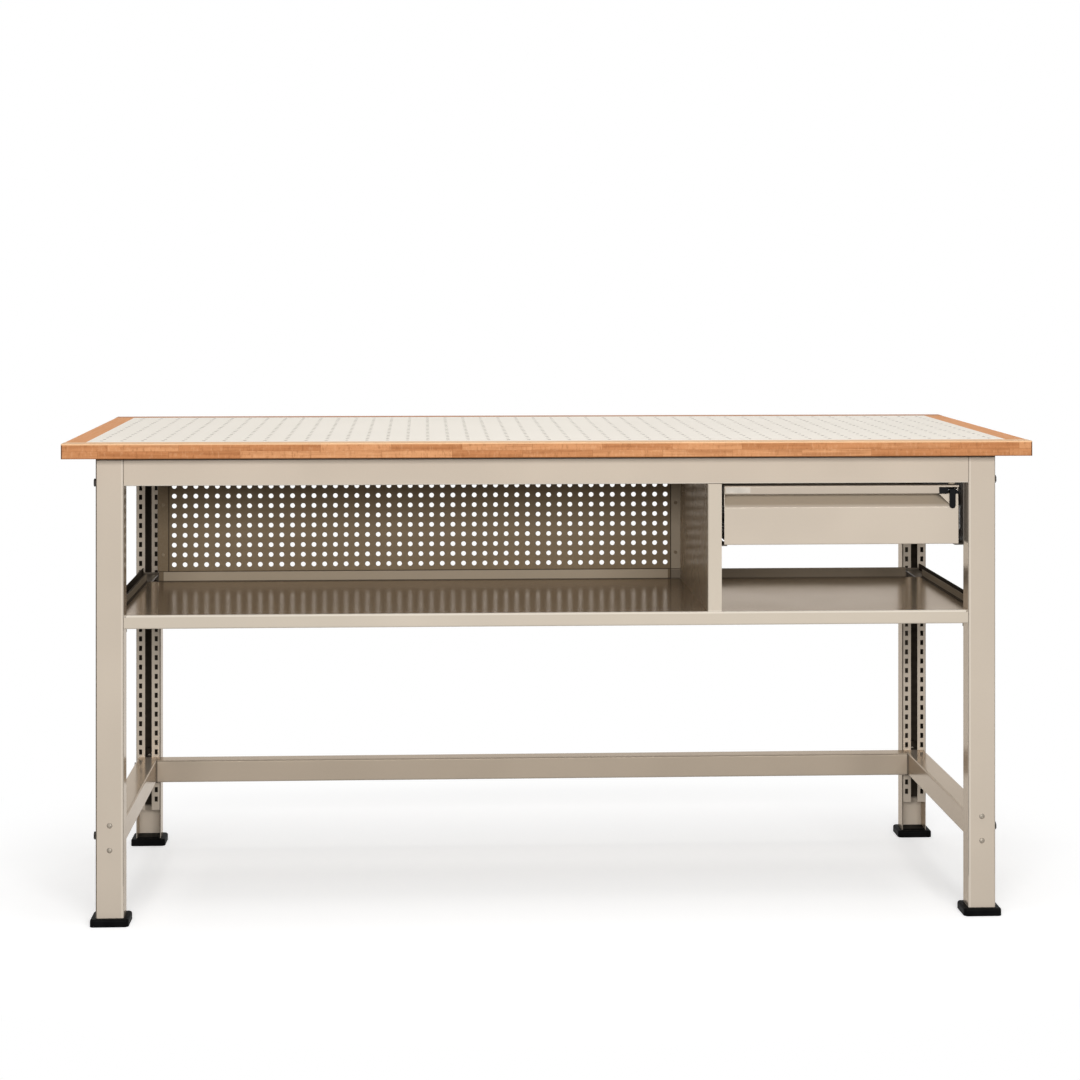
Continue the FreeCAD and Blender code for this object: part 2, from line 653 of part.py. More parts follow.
def tube_along_y(z0, z1, bar_z0, bar_z1):
    """A right-hand side member with capped ends and a bar at each end that enters the legs."""
    x1 = RAIL_IN_X + RAIL_WIDTH
    outer = box(RAIL_IN_X, x1, FRONT_LIP_Y, REAR_LIP_Y, z0, z1)
    long_edges = [edge for edge in outer.Edges if edge.BoundBox.YLength > edge.Length / 2]
    outer = outer.makeFillet(RAIL_ROUND, long_edges)
    hollow = box(RAIL_IN_X + RAIL_WALL, x1 - RAIL_WALL, FRONT_LIP_Y + END_PLATE, REAR_LIP_Y - END_PLATE,
                 z0 + RAIL_WALL, z1 - RAIL_WALL)
    half_bar = LIP_GAP / 2 - BAR_PLAY
    left = LEG_MID_X - half_bar
    right = LEG_MID_X + half_bar
    web_y = FRONT_Y + LEG_WALL
    bar = box(left, right, web_y, FRONT_LIP_Y, max(z0, bar_z0), min(z1, bar_z1))
    block = box(left, right, web_y, web_y + BAR_BLOCK_DEPTH, bar_z0, bar_z1)
    return fused(outer.cut(hollow), bar, block, mirrored_y(bar), mirrored_y(block))


def side_stretcher():
    """The right stretcher near the floor, drilled for its own bolts and the rear stretcher's."""
    tube = tube_along_y(STRETCHER_BOTTOM, STRETCHER_TOP, STRETCHER_BOTTOM - BAR_MARGIN,
                        STRETCHER_TOP + BAR_MARGIN)
    cutters = holes_for(right_places(web_bolt_places()), WEB_BOLT, THREAD_PLAY, WEB_BOLT_LENGTH)
    sides = [place for place in right_places(side_bolt_places()) if place[0].z < STRETCHER_TOP]
    cutters += holes_for(sides, SIDE_BOLT, THREAD_PLAY, SIDE_BOLT_LENGTH)
    cutters += holes_for(stretcher_bolt_places(), FRAME_BOLT, THREAD_PLAY, END_PLATE + FRAME_BOLT_LENGTH)
    return tube.cut(cutters)


def side_top_rail():
    """The right rail under the worktop, between the front and rear legs."""
    tube = tube_along_y(UNDER_Z - RAIL_HEIGHT, UNDER_Z, UPPER_BOLT_Z - BAR_MARGIN, UNDER_Z - BAR_MARGIN)
    sides = [place for place in right_places(side_bolt_places()) if place[0].z > STRETCHER_TOP]
    return tube.cut(holes_for(sides, SIDE_BOLT, THREAD_PLAY, SIDE_BOLT_LENGTH))


def rear_stretcher():
    """The rear stretcher: a channel open to the rear, plated at its ends."""
    front_y = REAR_LIP_Y - REAR_STRETCHER_DEPTH
    path = [V(REAR_LIP_Y, STRETCHER_TOP), V(front_y, STRETCHER_TOP),
            V(front_y, STRETCHER_BOTTOM), V(REAR_LIP_Y, STRETCHER_BOTTOM)]
    channel = folded_x(path, RAIL_WALL, RAIL_WALL, -RAIL_IN_X, RAIL_IN_X)
    end = box(RAIL_IN_X - END_PLATE, RAIL_IN_X, front_y + RAIL_WALL, REAR_LIP_Y,
              STRETCHER_BOTTOM + RAIL_WALL, STRETCHER_TOP - RAIL_WALL)
    whole = fused(channel, end, mirrored_x(end))
    return whole.cut(holes_for(mirror_places(stretcher_bolt_places()), FRAME_BOLT, THROUGH_PLAY,
                               END_PLATE + OVERRUN))


def front_apron():
    """The front apron: a channel open to the rear between the legs, plated at its ends."""
    path = [V(FRONT_Y + APRON_TOP_FLANGE, UNDER_Z), V(FRONT_Y, UNDER_Z),
            V(FRONT_Y, APRON_BOTTOM_Z), V(FRONT_Y + APRON_LOWER_FLANGE, APRON_BOTTOM_Z)]
    channel = folded_x(path, APRON_SHEET, SHEET_BEND, -APRON_END_X, APRON_END_X)
    end = box(APRON_END_X - END_PLATE, APRON_END_X, FRONT_Y + APRON_SHEET, FRONT_Y + APRON_TOP_FLANGE,
              APRON_BOTTOM_Z + APRON_SHEET, UNDER_Z - APRON_SHEET)
    return fused(channel, end, mirrored_x(end))


def drilled_aprons():
    """Both aprons with the holes for their bolts and the worktop's screws."""
    front = front_apron()
    cutters = holes_for(frame_places(apron_bolt_places()), FRAME_BOLT, THROUGH_PLAY, END_PLATE + OVERRUN)
    cutters += holes_for(apron_screw_places(), WOOD_SCREW, THROUGH_PLAY, APRON_SHEET + OVERRUN)
    return front.cut(cutters), mirrored_y(front).cut(cutters)


def shelf():
    """The shelf: a tray with a front lip, side and rear upstands and open corners."""
    bottom = SHELF_HEIGHT - SHELF_LIP
    rear_y = SHELF_REAR_Y + SHEET
    path = [V(rear_y, SHELF_HEIGHT), V(FRONT_Y, SHELF_HEIGHT), V(FRONT_Y, bottom),
            V(FRONT_Y + SHELF_RETURN, bottom)]
    main = folded_x(path, SHEET, SHEET_BEND, -SHELF_END_X, SHELF_END_X)
    side_path = [V(SHELF_SIDE_X, SHELF_HEIGHT + SHELF_SIDE_UPSTAND), V(SHELF_SIDE_X, SHELF_HEIGHT),
                 V(SHELF_END_X - SHELF_RETURN, SHELF_HEIGHT)]
    side = folded_y(side_path, SHEET, SHEET_BEND, SHELF_SIDE_FRONT_Y, rear_y)
    rear_path = [V(SHELF_REAR_Y, SHELF_HEIGHT + SHELF_REAR_UPSTAND), V(SHELF_REAR_Y, SHELF_HEIGHT),
                 V(SHELF_REAR_Y - SHELF_RETURN, SHELF_HEIGHT)]
    split_left = DIVIDER_X - DIVIDER_REAR_FLANGE - UPSTAND_SPLIT_GAP
    split_right = DIVIDER_X + DIVIDER_FRONT_FLANGE
    rear_left = folded_x(rear_path, SHEET, SHEET_BEND, -UPSTAND_END_X, split_left)
    rear_right = folded_x(rear_path, SHEET, SHEET_BEND, split_right, UPSTAND_END_X)
    notch = box(SHELF_END_X - SHELF_NOTCH, SHELF_END_X + OVERRUN, FRONT_Y - OVERRUN, FRONT_Y + SHELF_NOTCH,
                SHELF_HEIGHT - SHELF_NOTCH, SHELF_HEIGHT + OVERRUN)
    whole = fused(main, side, mirrored_x(side), rear_left, rear_right)
    cutters = [notch, mirrored_x(notch)]
    cutters += holes_for(shelf_screw_places(), SHEET_SCREW, THROUGH_PLAY, SHEET_SCREW_LENGTH)
    return whole.cut(cutters)


def shelf_rail():
    """The right rail under the shelf, with a tab at each end bolted to a leg's lip."""
    wall = box(SHELF_RAIL_OUT_X, SHELF_RAIL_OUT_X + SHELF_RAIL_SHEET, FRONT_LIP_Y, REAR_LIP_Y,
               SHELF_UNDER_Z - SHELF_RAIL_DROP, SHELF_UNDER_Z + SHELF_RAIL_RISE)
    flange = box(SHELF_RAIL_IN_X, SHELF_RAIL_OUT_X, FRONT_LIP_Y, REAR_LIP_Y,
                 SHELF_UNDER_Z - SHELF_RAIL_SHEET, SHELF_UNDER_Z)
    tab = box(LEG_IN_X, SHELF_RAIL_OUT_X, FRONT_LIP_Y, FRONT_LIP_Y + SHELF_TAB,
              SHELF_UNDER_Z - SHELF_TAB_DROP, SHELF_UNDER_Z + SHELF_TAB_RISE)
    whole = fused(wall, flange, tab, mirrored_y(tab))
    places = right_places(shelf_bolt_places())
    return whole.cut(holes_for(places, FRAME_BOLT, THROUGH_PLAY, SHELF_TAB + OVERRUN))


def back_panel():
    """The perforated panel behind the open bay."""
    bottom = SHELF_HEIGHT - BACK_PANEL_OVERLAP
    top = UNDER_Z - BACK_PANEL_HEADROOM
    corners = [V(PANEL_LEFT_X, PANEL_FRONT_Y, bottom), V(PANEL_RIGHT_X, PANEL_FRONT_Y, bottom),
               V(PANEL_RIGHT_X, PANEL_FRONT_Y, top), V(PANEL_LEFT_X, PANEL_FRONT_Y, top)]
    left = BRACKET_X + BRACKET_FLANGE + BACK_HOLE_SIDE_MARGIN
    right = DIVIDER_X - DIVIDER_REAR_FLANGE - BACK_HOLE_SIDE_MARGIN
    columns = evenly(left, right, BACK_HOLE_PITCH_X)
    first = SHELF_HEIGHT + BACK_HOLE_FIRST_ROW
    count = int((UNDER_Z - BACK_HOLE_TOP_MARGIN - first) / BACK_HOLE_PITCH_Z) + 1
    rows = [first + row * BACK_HOLE_PITCH_Z for row in range(count)]
    holes = [V(x, PANEL_FRONT_Y, z) for x in columns for z in rows]
    panel = perforated(corners, holes, BACK_HOLE_DIAMETER, V(0, SHEET, 0))
    return panel.cut(holes_for(panel_screw_places(), SHEET_SCREW, THROUGH_PLAY, SHEET_SCREW_LENGTH))


def panel_bracket():
    """The upright angle that holds the back panel's left edge."""
    bottom = SHELF_HEIGHT + SHELF_REAR_UPSTAND
    path = [V(BRACKET_X + BRACKET_FLANGE, PANEL_FRONT_Y), V(BRACKET_X, PANEL_FRONT_Y),
            V(BRACKET_X, PANEL_FRONT_Y + BRACKET_RETURN)]
    angle = folded_z(path, SHEET, SHEET_BEND, bottom, UNDER_Z)
    tab = box(BRACKET_X, BRACKET_X + BRACKET_FLANGE, PANEL_FRONT_Y - SHEET, PANEL_FRONT_Y + BRACKET_RETURN,
              UNDER_Z - SHEET, UNDER_Z)
    cutters = holes_for(panel_screw_places(), SHEET_SCREW, THROUGH_PLAY, SHEET_SCREW_LENGTH)
    cutters += holes_for(tab_screw_places(), WOOD_SCREW, THROUGH_PLAY, SHEET + OVERRUN)
    return fused(angle, tab).cut(cutters)


def apron_notch(x0, x1):
    """The room that a piece under the worktop leaves for the front apron."""
    return box(x0 - OVERRUN, x1 + OVERRUN, FRONT_Y - OVERRUN, FRONT_Y + APRON_TOP_FLANGE + NOTCH_PLAY,
               APRON_BOTTOM_Z - APRON_SEAM, UNDER_Z + OVERRUN)


def divider():
    """The divider between the open bay and the drawer: an upright plate flanged at both ends."""
    path = [V(DIVIDER_X - DIVIDER_REAR_FLANGE, SHELF_REAR_Y), V(DIVIDER_X, SHELF_REAR_Y),
            V(DIVIDER_X, FRONT_Y), V(DIVIDER_X + DIVIDER_FRONT_FLANGE, FRONT_Y)]
    upright = folded_z(path, SHEET, SHEET_BEND, SHELF_HEIGHT, UNDER_Z)
    front = FRONT_Y + DIVIDER_TAB_INSET
    rear = SHELF_REAR_Y - DIVIDER_TAB_INSET
    tab_end = DIVIDER_X + SHEET + DIVIDER_TAB
    top_tab = box(DIVIDER_X, tab_end, front, rear, UNDER_Z - SHEET, UNDER_Z)
    foot_tab = box(DIVIDER_X, tab_end, front, rear, SHELF_HEIGHT, SHELF_HEIGHT + SHEET)
    cutters = [apron_notch(DIVIDER_X, tab_end + DIVIDER_FRONT_FLANGE)]
    cutters += holes_for(panel_screw_places(), SHEET_SCREW, THROUGH_PLAY, SHEET_SCREW_LENGTH)
    cutters += holes_for(shelf_screw_places(), SHEET_SCREW, THROUGH_PLAY, SHEET_SCREW_LENGTH)
    cutters += holes_for(tab_screw_places(), WOOD_SCREW, THROUGH_PLAY, SHEET + OVERRUN)
    return fused(upright, top_tab, foot_tab).cut(cutters)


def rivet_rows():
    """Where the rivets lie along the slides."""
    return [SLIDE_FRONT_Y + SLIDE_LENGTH * share for share in RIVET_SHARES]


def hanger():
    """The right drawer hanger: a plate with a top flange under the worktop and a lower lip."""
    path = [V(HANGER_IN_X - HANGER_LIP, HANGER_BOTTOM_Z), V(HANGER_OUT_X, HANGER_BOTTOM_Z),
            V(HANGER_OUT_X, UNDER_Z), V(HANGER_OUT_X - HANGER_FLANGE, UNDER_Z)]
    sheet = folded_y(path, HANGER_SHEET, SHEET_BEND, HANGER_FRONT_Y, HANGER_REAR_Y)
    cutters = [apron_notch(HANGER_OUT_X - HANGER_FLANGE, HANGER_OUT_X)]
    cutters += holes_for(hanger_screw_places(), WOOD_SCREW, THROUGH_PLAY, HANGER_SHEET + OVERRUN)
    for y in rivet_rows():
        cutters.append(rod(RIVET + 2 * THREAD_PLAY, V(HANGER_IN_X - OVERRUN, y, SLIDE_Z),
                           V(HANGER_OUT_X + OVERRUN, y, SLIDE_Z)))
    return sheet.cut(cutters)


def slide_channel(near, far, half_height, metal, y0, y1):
    """A left-hand slide member: a channel from its web at near to its lips at far."""
    path = [V(far, SLIDE_Z + half_height), V(near, SLIDE_Z + half_height),
            V(near, SLIDE_Z - half_height), V(far, SLIDE_Z - half_height)]
    if far < near:
        path.reverse()
    return folded_y(path, metal, SLIDE_BEND, y0, y1)


class SlideLevels:
    """Half heights and web places of the nested slide members, from the hanger to the drawer."""
    race = BALL_DIAMETER + 2 * BALL_PLAY
    outer_half = SLIDE_HEIGHT / 2
    middle_half = outer_half - SLIDE_METAL - race
    inner_half = middle_half - SLIDE_METAL - race
    outer_web = LEFT_HANGER_IN_X
    outer_cage_web = outer_web + SLIDE_METAL + SLIDE_BACK_PLAY + CAGE_PLAY
    middle_web = outer_cage_web + CAGE_METAL + CAGE_PLAY
    inner_cage_web = middle_web + SLIDE_METAL + CAGE_PLAY
    inner_lip = inner_cage_web + CAGE_METAL + 2 * CAGE_PLAY
    inner_web = TRAY_LEFT_X
    middle_lip = inner_web - SLIDE_METAL - SLIDE_LIP_PLAY
    outer_lip = middle_lip - SLIDE_METAL
    outer_ball_half = outer_half - SLIDE_METAL - race / 2
    inner_ball_half = middle_half - SLIDE_METAL - race / 2
    outer_ball_x = (middle_web + outer_lip) / 2
    inner_ball_x = (inner_lip + middle_lip) / 2


def slide_rivet_cutters():
    """Holes through the slides' webs and the tray's left side."""
    near = LEFT_HANGER_IN_X - OVERRUN
    far = TRAY_LEFT_X + TRAY_METAL + OVERRUN
    return [rod(RIVET + 2 * THREAD_PLAY, V(near, y, SLIDE_Z), V(far, y, SLIDE_Z)) for y in rivet_rows()]


def slide_outer():
    """The left slide's fixed member."""
    member = slide_channel(SlideLevels.outer_web, SlideLevels.outer_lip, SlideLevels.outer_half, SLIDE_METAL,
                           SLIDE_FRONT_Y, SLIDE_REAR_Y)
    return member.cut(slide_rivet_cutters())


def slide_middle():
    """The left slide's middle member."""
    return slide_channel(SlideLevels.middle_web, SlideLevels.middle_lip, SlideLevels.middle_half, SLIDE_METAL,
                         SLIDE_FRONT_Y, SLIDE_REAR_Y)


def slide_inner():
    """The left slide's member on the drawer."""
    member = slide_channel(SlideLevels.inner_web, SlideLevels.inner_lip, SlideLevels.inner_half, SLIDE_METAL,
                           SLIDE_FRONT_Y, SLIDE_REAR_Y)
    return member.cut(slide_rivet_cutters())


def ball_cage(web, lip, ball_x, ball_half):
    """A ball cage with a row of balls above and below, midway along the slide."""
    middle = (SLIDE_FRONT_Y + SLIDE_REAR_Y) / 2
    y0 = middle - CAGE_LENGTH / 2
    y1 = middle + CAGE_LENGTH / 2
    cage = slide_channel(web, lip, ball_half + CAGE_METAL / 2, CAGE_METAL, y0, y1)
    pockets = []
    balls = []
    for y in evenly(y0 + CAGE_MARGIN, y1 - CAGE_MARGIN, BALL_PITCH):
        for z in (SLIDE_Z - ball_half, SLIDE_Z + ball_half):
            centre = V(ball_x, y, z)
            half = V(0, 0, CAGE_METAL)
            pockets.append(rod(BALL_DIAMETER + 2 * CAGE_POCKET_PLAY, centre - half, centre + half))
            balls.append(Part.makeSphere(BALL_DIAMETER / 2, centre))
    return Part.makeCompound([cage.cut(pockets)] + balls)


def outer_cage():
    """The cage between the left slide's fixed and middle members."""
    return ball_cage(SlideLevels.outer_cage_web, SlideLevels.outer_lip, SlideLevels.outer_ball_x,
                     SlideLevels.outer_ball_half)


def inner_cage():
    """The cage between the left slide's middle and drawer members."""
    return ball_cage(SlideLevels.inner_cage_web, SlideLevels.middle_lip, SlideLevels.inner_ball_x,
                     SlideLevels.inner_ball_half)


def drawer_tray():
    """The drawer's open box, with a front wall that reaches up behind the handle."""
    top = TRAY_BOTTOM_Z + TRAY_HEIGHT
    outer = box(TRAY_LEFT_X, TRAY_RIGHT_X, TRAY_FRONT_Y, TRAY_REAR_Y, TRAY_BOTTOM_Z, top)
    long_edges = [edge for edge in outer.Edges if edge.BoundBox.ZMax < TRAY_BOTTOM_Z + TRAY_METAL]
    outer = outer.makeFillet(TRAY_BEND, [edge for edge in long_edges if edge.CenterOfMass.y > TRAY_FRONT_Y])
    hollow = box(TRAY_LEFT_X + TRAY_METAL, TRAY_RIGHT_X - TRAY_METAL, TRAY_FRONT_Y + TRAY_METAL,
                 TRAY_REAR_Y - TRAY_METAL, TRAY_BOTTOM_Z + TRAY_METAL, top + OVERRUN)
    front = box(TRAY_LEFT_X, TRAY_RIGHT_X, TRAY_FRONT_Y, TRAY_FRONT_Y + TRAY_METAL, TRAY_BOTTOM_Z,
                HANDLE_UNDER_Z)
    whole = fused(outer.cut(hollow), front)
    cutters = slide_rivet_cutters()
    cutters += [mirrored_x(cutter, DRAWER_MID_X) for cutter in cutters]
    cutters += holes_for(drawer_screw_places(), SHEET_SCREW, THREAD_PLAY, SHEET_SCREW_LENGTH)
    return whole.cut(cutters)


def drawer_front():
    """The drawer's folded front with its slanted finger recess, end plates and latch gusset."""
    path = [V(RECESS_BACK_Y, HANDLE_UNDER_Z), V(RECESS_BACK_Y, RECESS_BOTTOM_Z + RECESS_RISE),
            V(DRAWER_FACE_Y, RECESS_BOTTOM_Z), V(DRAWER_FACE_Y, DRAWER_BOTTOM_Z),
            V(DRAWER_FACE_Y + DRAWER_RETURN, DRAWER_BOTTOM_Z)]
    sheet = folded_x(path, TRAY_METAL, TRAY_BEND, DRAWER_LEFT_X, DRAWER_RIGHT_X)
    inner_y = FRONT_Y + HANDLE_HEM
    cheek = [V(DRAWER_FACE_Y + TRAY_METAL, RECESS_BOTTOM_Z), V(RECESS_BACK_Y + TRAY_METAL,
             RECESS_BOTTOM_Z + RECESS_RISE), V(RECESS_BACK_Y, HANDLE_UNDER_Z), V(inner_y, HANDLE_UNDER_Z),
             V(inner_y, HANDLE_BOTTOM_Z)]
    left = plate(cheek, section_on_x(DRAWER_LEFT_X), V(TRAY_METAL, 0, 0))
    right = plate(cheek, section_on_x(DRAWER_RIGHT_X - TRAY_METAL), V(TRAY_METAL, 0, 0))
    x1 = DRAWER_RIGHT_X - TRAY_METAL
    x0 = x1 - GUSSET_WIDTH
    gusset_top = HANDLE_BOTTOM_Z - LATCH_PLAY
    gusset = [V(x0, gusset_top), V(x0 + GUSSET_SLOPE_WIDTH, RECESS_BOTTOM_Z), V(x1, RECESS_BOTTOM_Z),
              V(x1, gusset_top)]
    web = plate(gusset, section_on_y(DRAWER_FACE_Y + GUSSET_SETBACK), V(0, TRAY_METAL, 0))
    whole = fused(sheet, left, right, web)
    cutters = holes_for(drawer_screw_places(), SHEET_SCREW, THROUGH_PLAY, TRAY_METAL + OVERRUN)
    return whole.cut(cutters)


def latch_left_x():
    """The latch body's left face, where the handle ends."""
    return DRAWER_RIGHT_X - TRAY_METAL - LATCH_WIDTH


def handle_rail():
    """The folded handle along the drawer's top, of which only a strip passes over the latch."""
    path = [V(TRAY_FRONT_Y, DRAWER_TOP_Z), V(FRONT_Y, DRAWER_TOP_Z), V(FRONT_Y, HANDLE_BOTTOM_Z),
            V(FRONT_Y + HANDLE_HEM, HANDLE_BOTTOM_Z)]
    rail = folded_x(path, HANDLE_METAL, HANDLE_METAL / 2, DRAWER_LEFT_X, latch_left_x())
    strip_path = [V(FRONT_Y + HANDLE_STRIP_DEPTH, DRAWER_TOP_Z), V(FRONT_Y, DRAWER_TOP_Z),
                  V(FRONT_Y, DRAWER_TOP_Z - HANDLE_STRIP_FACE)]
    strip = folded_x(strip_path, HANDLE_METAL, HANDLE_METAL / 2, latch_left_x(), DRAWER_RIGHT_X)
    return fused(rail, strip)


def label_plate():
    """A blank label on the handle's left end."""
    x0 = DRAWER_LEFT_X + LABEL_INSET
    middle = DRAWER_TOP_Z - HANDLE_FACE / 2
    return box(x0, x0 + LABEL_WIDTH, FRONT_Y - LABEL_THICKNESS, FRONT_Y, middle - LABEL_HEIGHT / 2,
               middle + LABEL_HEIGHT / 2)


def pin_line():
    """The latch pin's depth and height."""
    return V(0, FRONT_Y + PIN_SETBACK, HANDLE_UNDER_Z - PIN_BELOW_TOP)


def lever_x():
    """The lever's left and right faces."""
    right = DRAWER_RIGHT_X - TRAY_METAL - LATCH_CHEEK - LEVER_PLAY
    return right - LEVER_WIDTH, right


def latch_body():
    """The latch's forked body at the end of the handle."""
    x0 = latch_left_x()
    x1 = DRAWER_RIGHT_X - TRAY_METAL
    top = DRAWER_TOP_Z - HANDLE_STRIP_FACE - LATCH_PLAY
    bottom = top - LATCH_HEIGHT
    outline = [V(x0, bottom), V(x1, bottom), V(x1, top - LATCH_TAPER_HEIGHT), V(x1 - LATCH_TAPER_WIDTH, top),
               V(x0, top)]
    y0 = FRONT_Y - LATCH_PROUD
    block = plate(outline, section_on_y(y0), V(0, RECESS_BACK_Y - y0, 0))
    lever_left, lever_right = lever_x()
    fork = box(lever_left - LEVER_PLAY - SPRING_LENGTH, lever_right + LEVER_PLAY, y0 - OVERRUN,
               RECESS_BACK_Y - LATCH_BACK_WALL, bottom - OVERRUN, HANDLE_UNDER_Z + OVERRUN)
    line = pin_line()
    bore = rod(PIN_DIAMETER + 2 * PIN_PLAY, V(x0 - OVERRUN, line.y, line.z), V(x1 + OVERRUN, line.y, line.z))
    return block.cut([fork, bore])


def latch_lever():
    """The finger lever: a round-ended tab below the pin and a nose behind it."""
    left, right = lever_x()
    line = pin_line()
    run = V(LEVER_WIDTH, 0, 0)
    face_y = FRONT_Y
    end_z = line.z - LEVER_DROP + LEVER_WIDTH / 2
    middle = (left + right) / 2
    tab = box(left, right, face_y, face_y + LEVER_THICKNESS, end_z, line.z + ARM_THICKNESS / 2)
    round_end = rod(LEVER_WIDTH, V(middle, face_y, end_z), V(middle, face_y + LEVER_THICKNESS, end_z))
    link = box(left, right, face_y, line.y, line.z - ARM_THICKNESS / 2, line.z + ARM_THICKNESS / 2)
    start = V(left, line.y, line.z)
    hub = rod(HUB_DIAMETER, start, start + run)
    nose_y = line.y + NOSE_REACH
    arm = box(left, right, line.y, nose_y, line.z - ARM_THICKNESS / 2, line.z + ARM_THICKNESS / 2)
    nose_top = APRON_BOTTOM_Z - KEEPER_LIP - NOSE_GAP
    nose = box(left, right, nose_y - NOSE_THICKNESS, nose_y, line.z, nose_top)
    bore = rod(PIN_DIAMETER + 2 * PIN_PLAY, start - run, start + run * 2)
    return fused(tab, round_end, link, hub, arm, nose).cut(bore)


def latch_pin():
    """The pin that the lever turns on."""
    line = pin_line()
    right = DRAWER_RIGHT_X - TRAY_METAL
    return rod(PIN_DIAMETER, V(latch_left_x(), line.y, line.z), V(right, line.y, line.z))


def latch_spring():
    """The closely wound return spring, a sleeve round the pin beside the lever."""
    line = pin_line()
    end = V(lever_x()[0] - LEVER_PLAY, line.y, line.z)
    start = end - V(SPRING_LENGTH - LATCH_PLAY, 0, 0)
    return rod(SPRING_DIAMETER, start, end).cut(rod(PIN_DIAMETER + 2 * THREAD_PLAY, start, end))


def latch_keeper():
    """The angle under the apron's flange that the latch's nose stands behind."""
    left, right = lever_x()
    nose_front = pin_line().y + NOSE_REACH - NOSE_THICKNESS
    rear = nose_front - KEEPER_PLAY
    lip = box(left, right, rear - KEEPER_SHEET, rear, APRON_BOTTOM_Z - KEEPER_LIP, APRON_BOTTOM_Z)
    foot_plate = box(left, right, rear - KEEPER_FOOT, rear, APRON_BOTTOM_Z - APRON_SHEET, APRON_BOTTOM_Z)
    return fused(lip, foot_plate)


def bolts(places, diameter, head, length):
    """A group of like bolts."""
    return [button_bolt(diameter, head, length, seat, axis) for seat, axis in places]


def nuts(places, diameter, reach):
    """Nuts on the far ends of bolts, each bearing on the wall that lies reach beyond the seat."""
    return [hex_nut(diameter, seat + axis * reach, axis) for seat, axis in places]


def rivet_group(head_x, flush_x, sign):
    """Rivets along both slides: a dome at head_x on the left side, flush at flush_x."""
    group = []
    for y in rivet_rows():
        dome = button_dome(V(head_x, y, SLIDE_Z), V(sign, 0, 0))
        whole = fused(dome, rod(RIVET, V(head_x, y, SLIDE_Z), V(flush_x, y, SLIDE_Z)))
        group += [whole, mirrored_x(whole, DRAWER_MID_X)]
    return group


def button_dome(seat, axis):
    """A rivet's domed head that stands off the seat along axis."""
    crown = RIVET_HEAD / 2
    ball = (crown * crown + RIVET_HEAD_HEIGHT * RIVET_HEAD_HEIGHT) / (2 * RIVET_HEAD_HEIGHT)
    sphere = Part.makeSphere(ball, V(0, 0, RIVET_HEAD_HEIGHT - ball))
    dome = Part.makeCylinder(crown, RIVET_HEAD_HEIGHT).common(sphere)
    dome.Placement = FreeCAD.Placement(seat, FreeCAD.Rotation(V(0, 0, 1), axis))
    return dome


def fastener_groups():
    """Every group of like fasteners, by node name."""
    apron_places = frame_places(apron_bolt_places())
    apron_reach = END_PLATE + APRON_SEAM + LEG_WALL
    apron_set = bolts(apron_places, FRAME_BOLT, FRAME_BOLT_HEAD, apron_reach + NUT_HEIGHT)
    shelf_places = frame_places(shelf_bolt_places())
    shelf_reach = SHELF_TAB + LEG_WALL
    shelf_set = bolts(shelf_places, FRAME_BOLT, FRAME_BOLT_HEAD, shelf_reach + NUT_HEIGHT)
    sheet_places = panel_screw_places() + shelf_screw_places()
    rivet_flush = LEFT_HANGER_IN_X + SLIDE_METAL
    side_set = [hex_bolt(SIDE_BOLT, SIDE_BOLT_HEAD, SIDE_BOLT_HEAD_HEIGHT, SIDE_BOLT_LENGTH, seat, axis)
                for seat, axis in frame_places(side_bolt_places())]
    return {
        "leg_web_bolts": bolts(frame_places(web_bolt_places()), WEB_BOLT, WEB_BOLT_HEAD, WEB_BOLT_LENGTH),
        "leg_side_bolts": side_set,
        "apron_bolts": apron_set + nuts(apron_places, FRAME_BOLT, apron_reach),
        "rear_stretcher_bolts": bolts(mirror_places(stretcher_bolt_places()), FRAME_BOLT, FRAME_BOLT_HEAD,
                                      FRAME_BOLT_LENGTH),
        "shelf_rail_bolts": shelf_set + nuts(shelf_places, FRAME_BOLT, shelf_reach),
        "worktop_screws": bolts(worktop_screw_places(), WOOD_SCREW, WOOD_SCREW_HEAD, WOOD_SCREW_LENGTH),
        "sheet_screws": bolts(sheet_places, SHEET_SCREW, SHEET_SCREW_HEAD, SHEET_SCREW_LENGTH),
        "drawer_screws": bolts(drawer_screw_places(), SHEET_SCREW, SHEET_SCREW_HEAD, SHEET_SCREW_LENGTH),
        "slide_rivets_frame": rivet_group(LEFT_HANGER_OUT_X, rivet_flush, -1),
        "slide_rivets_drawer": rivet_group(TRAY_LEFT_X + TRAY_METAL, TRAY_LEFT_X - SLIDE_METAL, 1),
    }


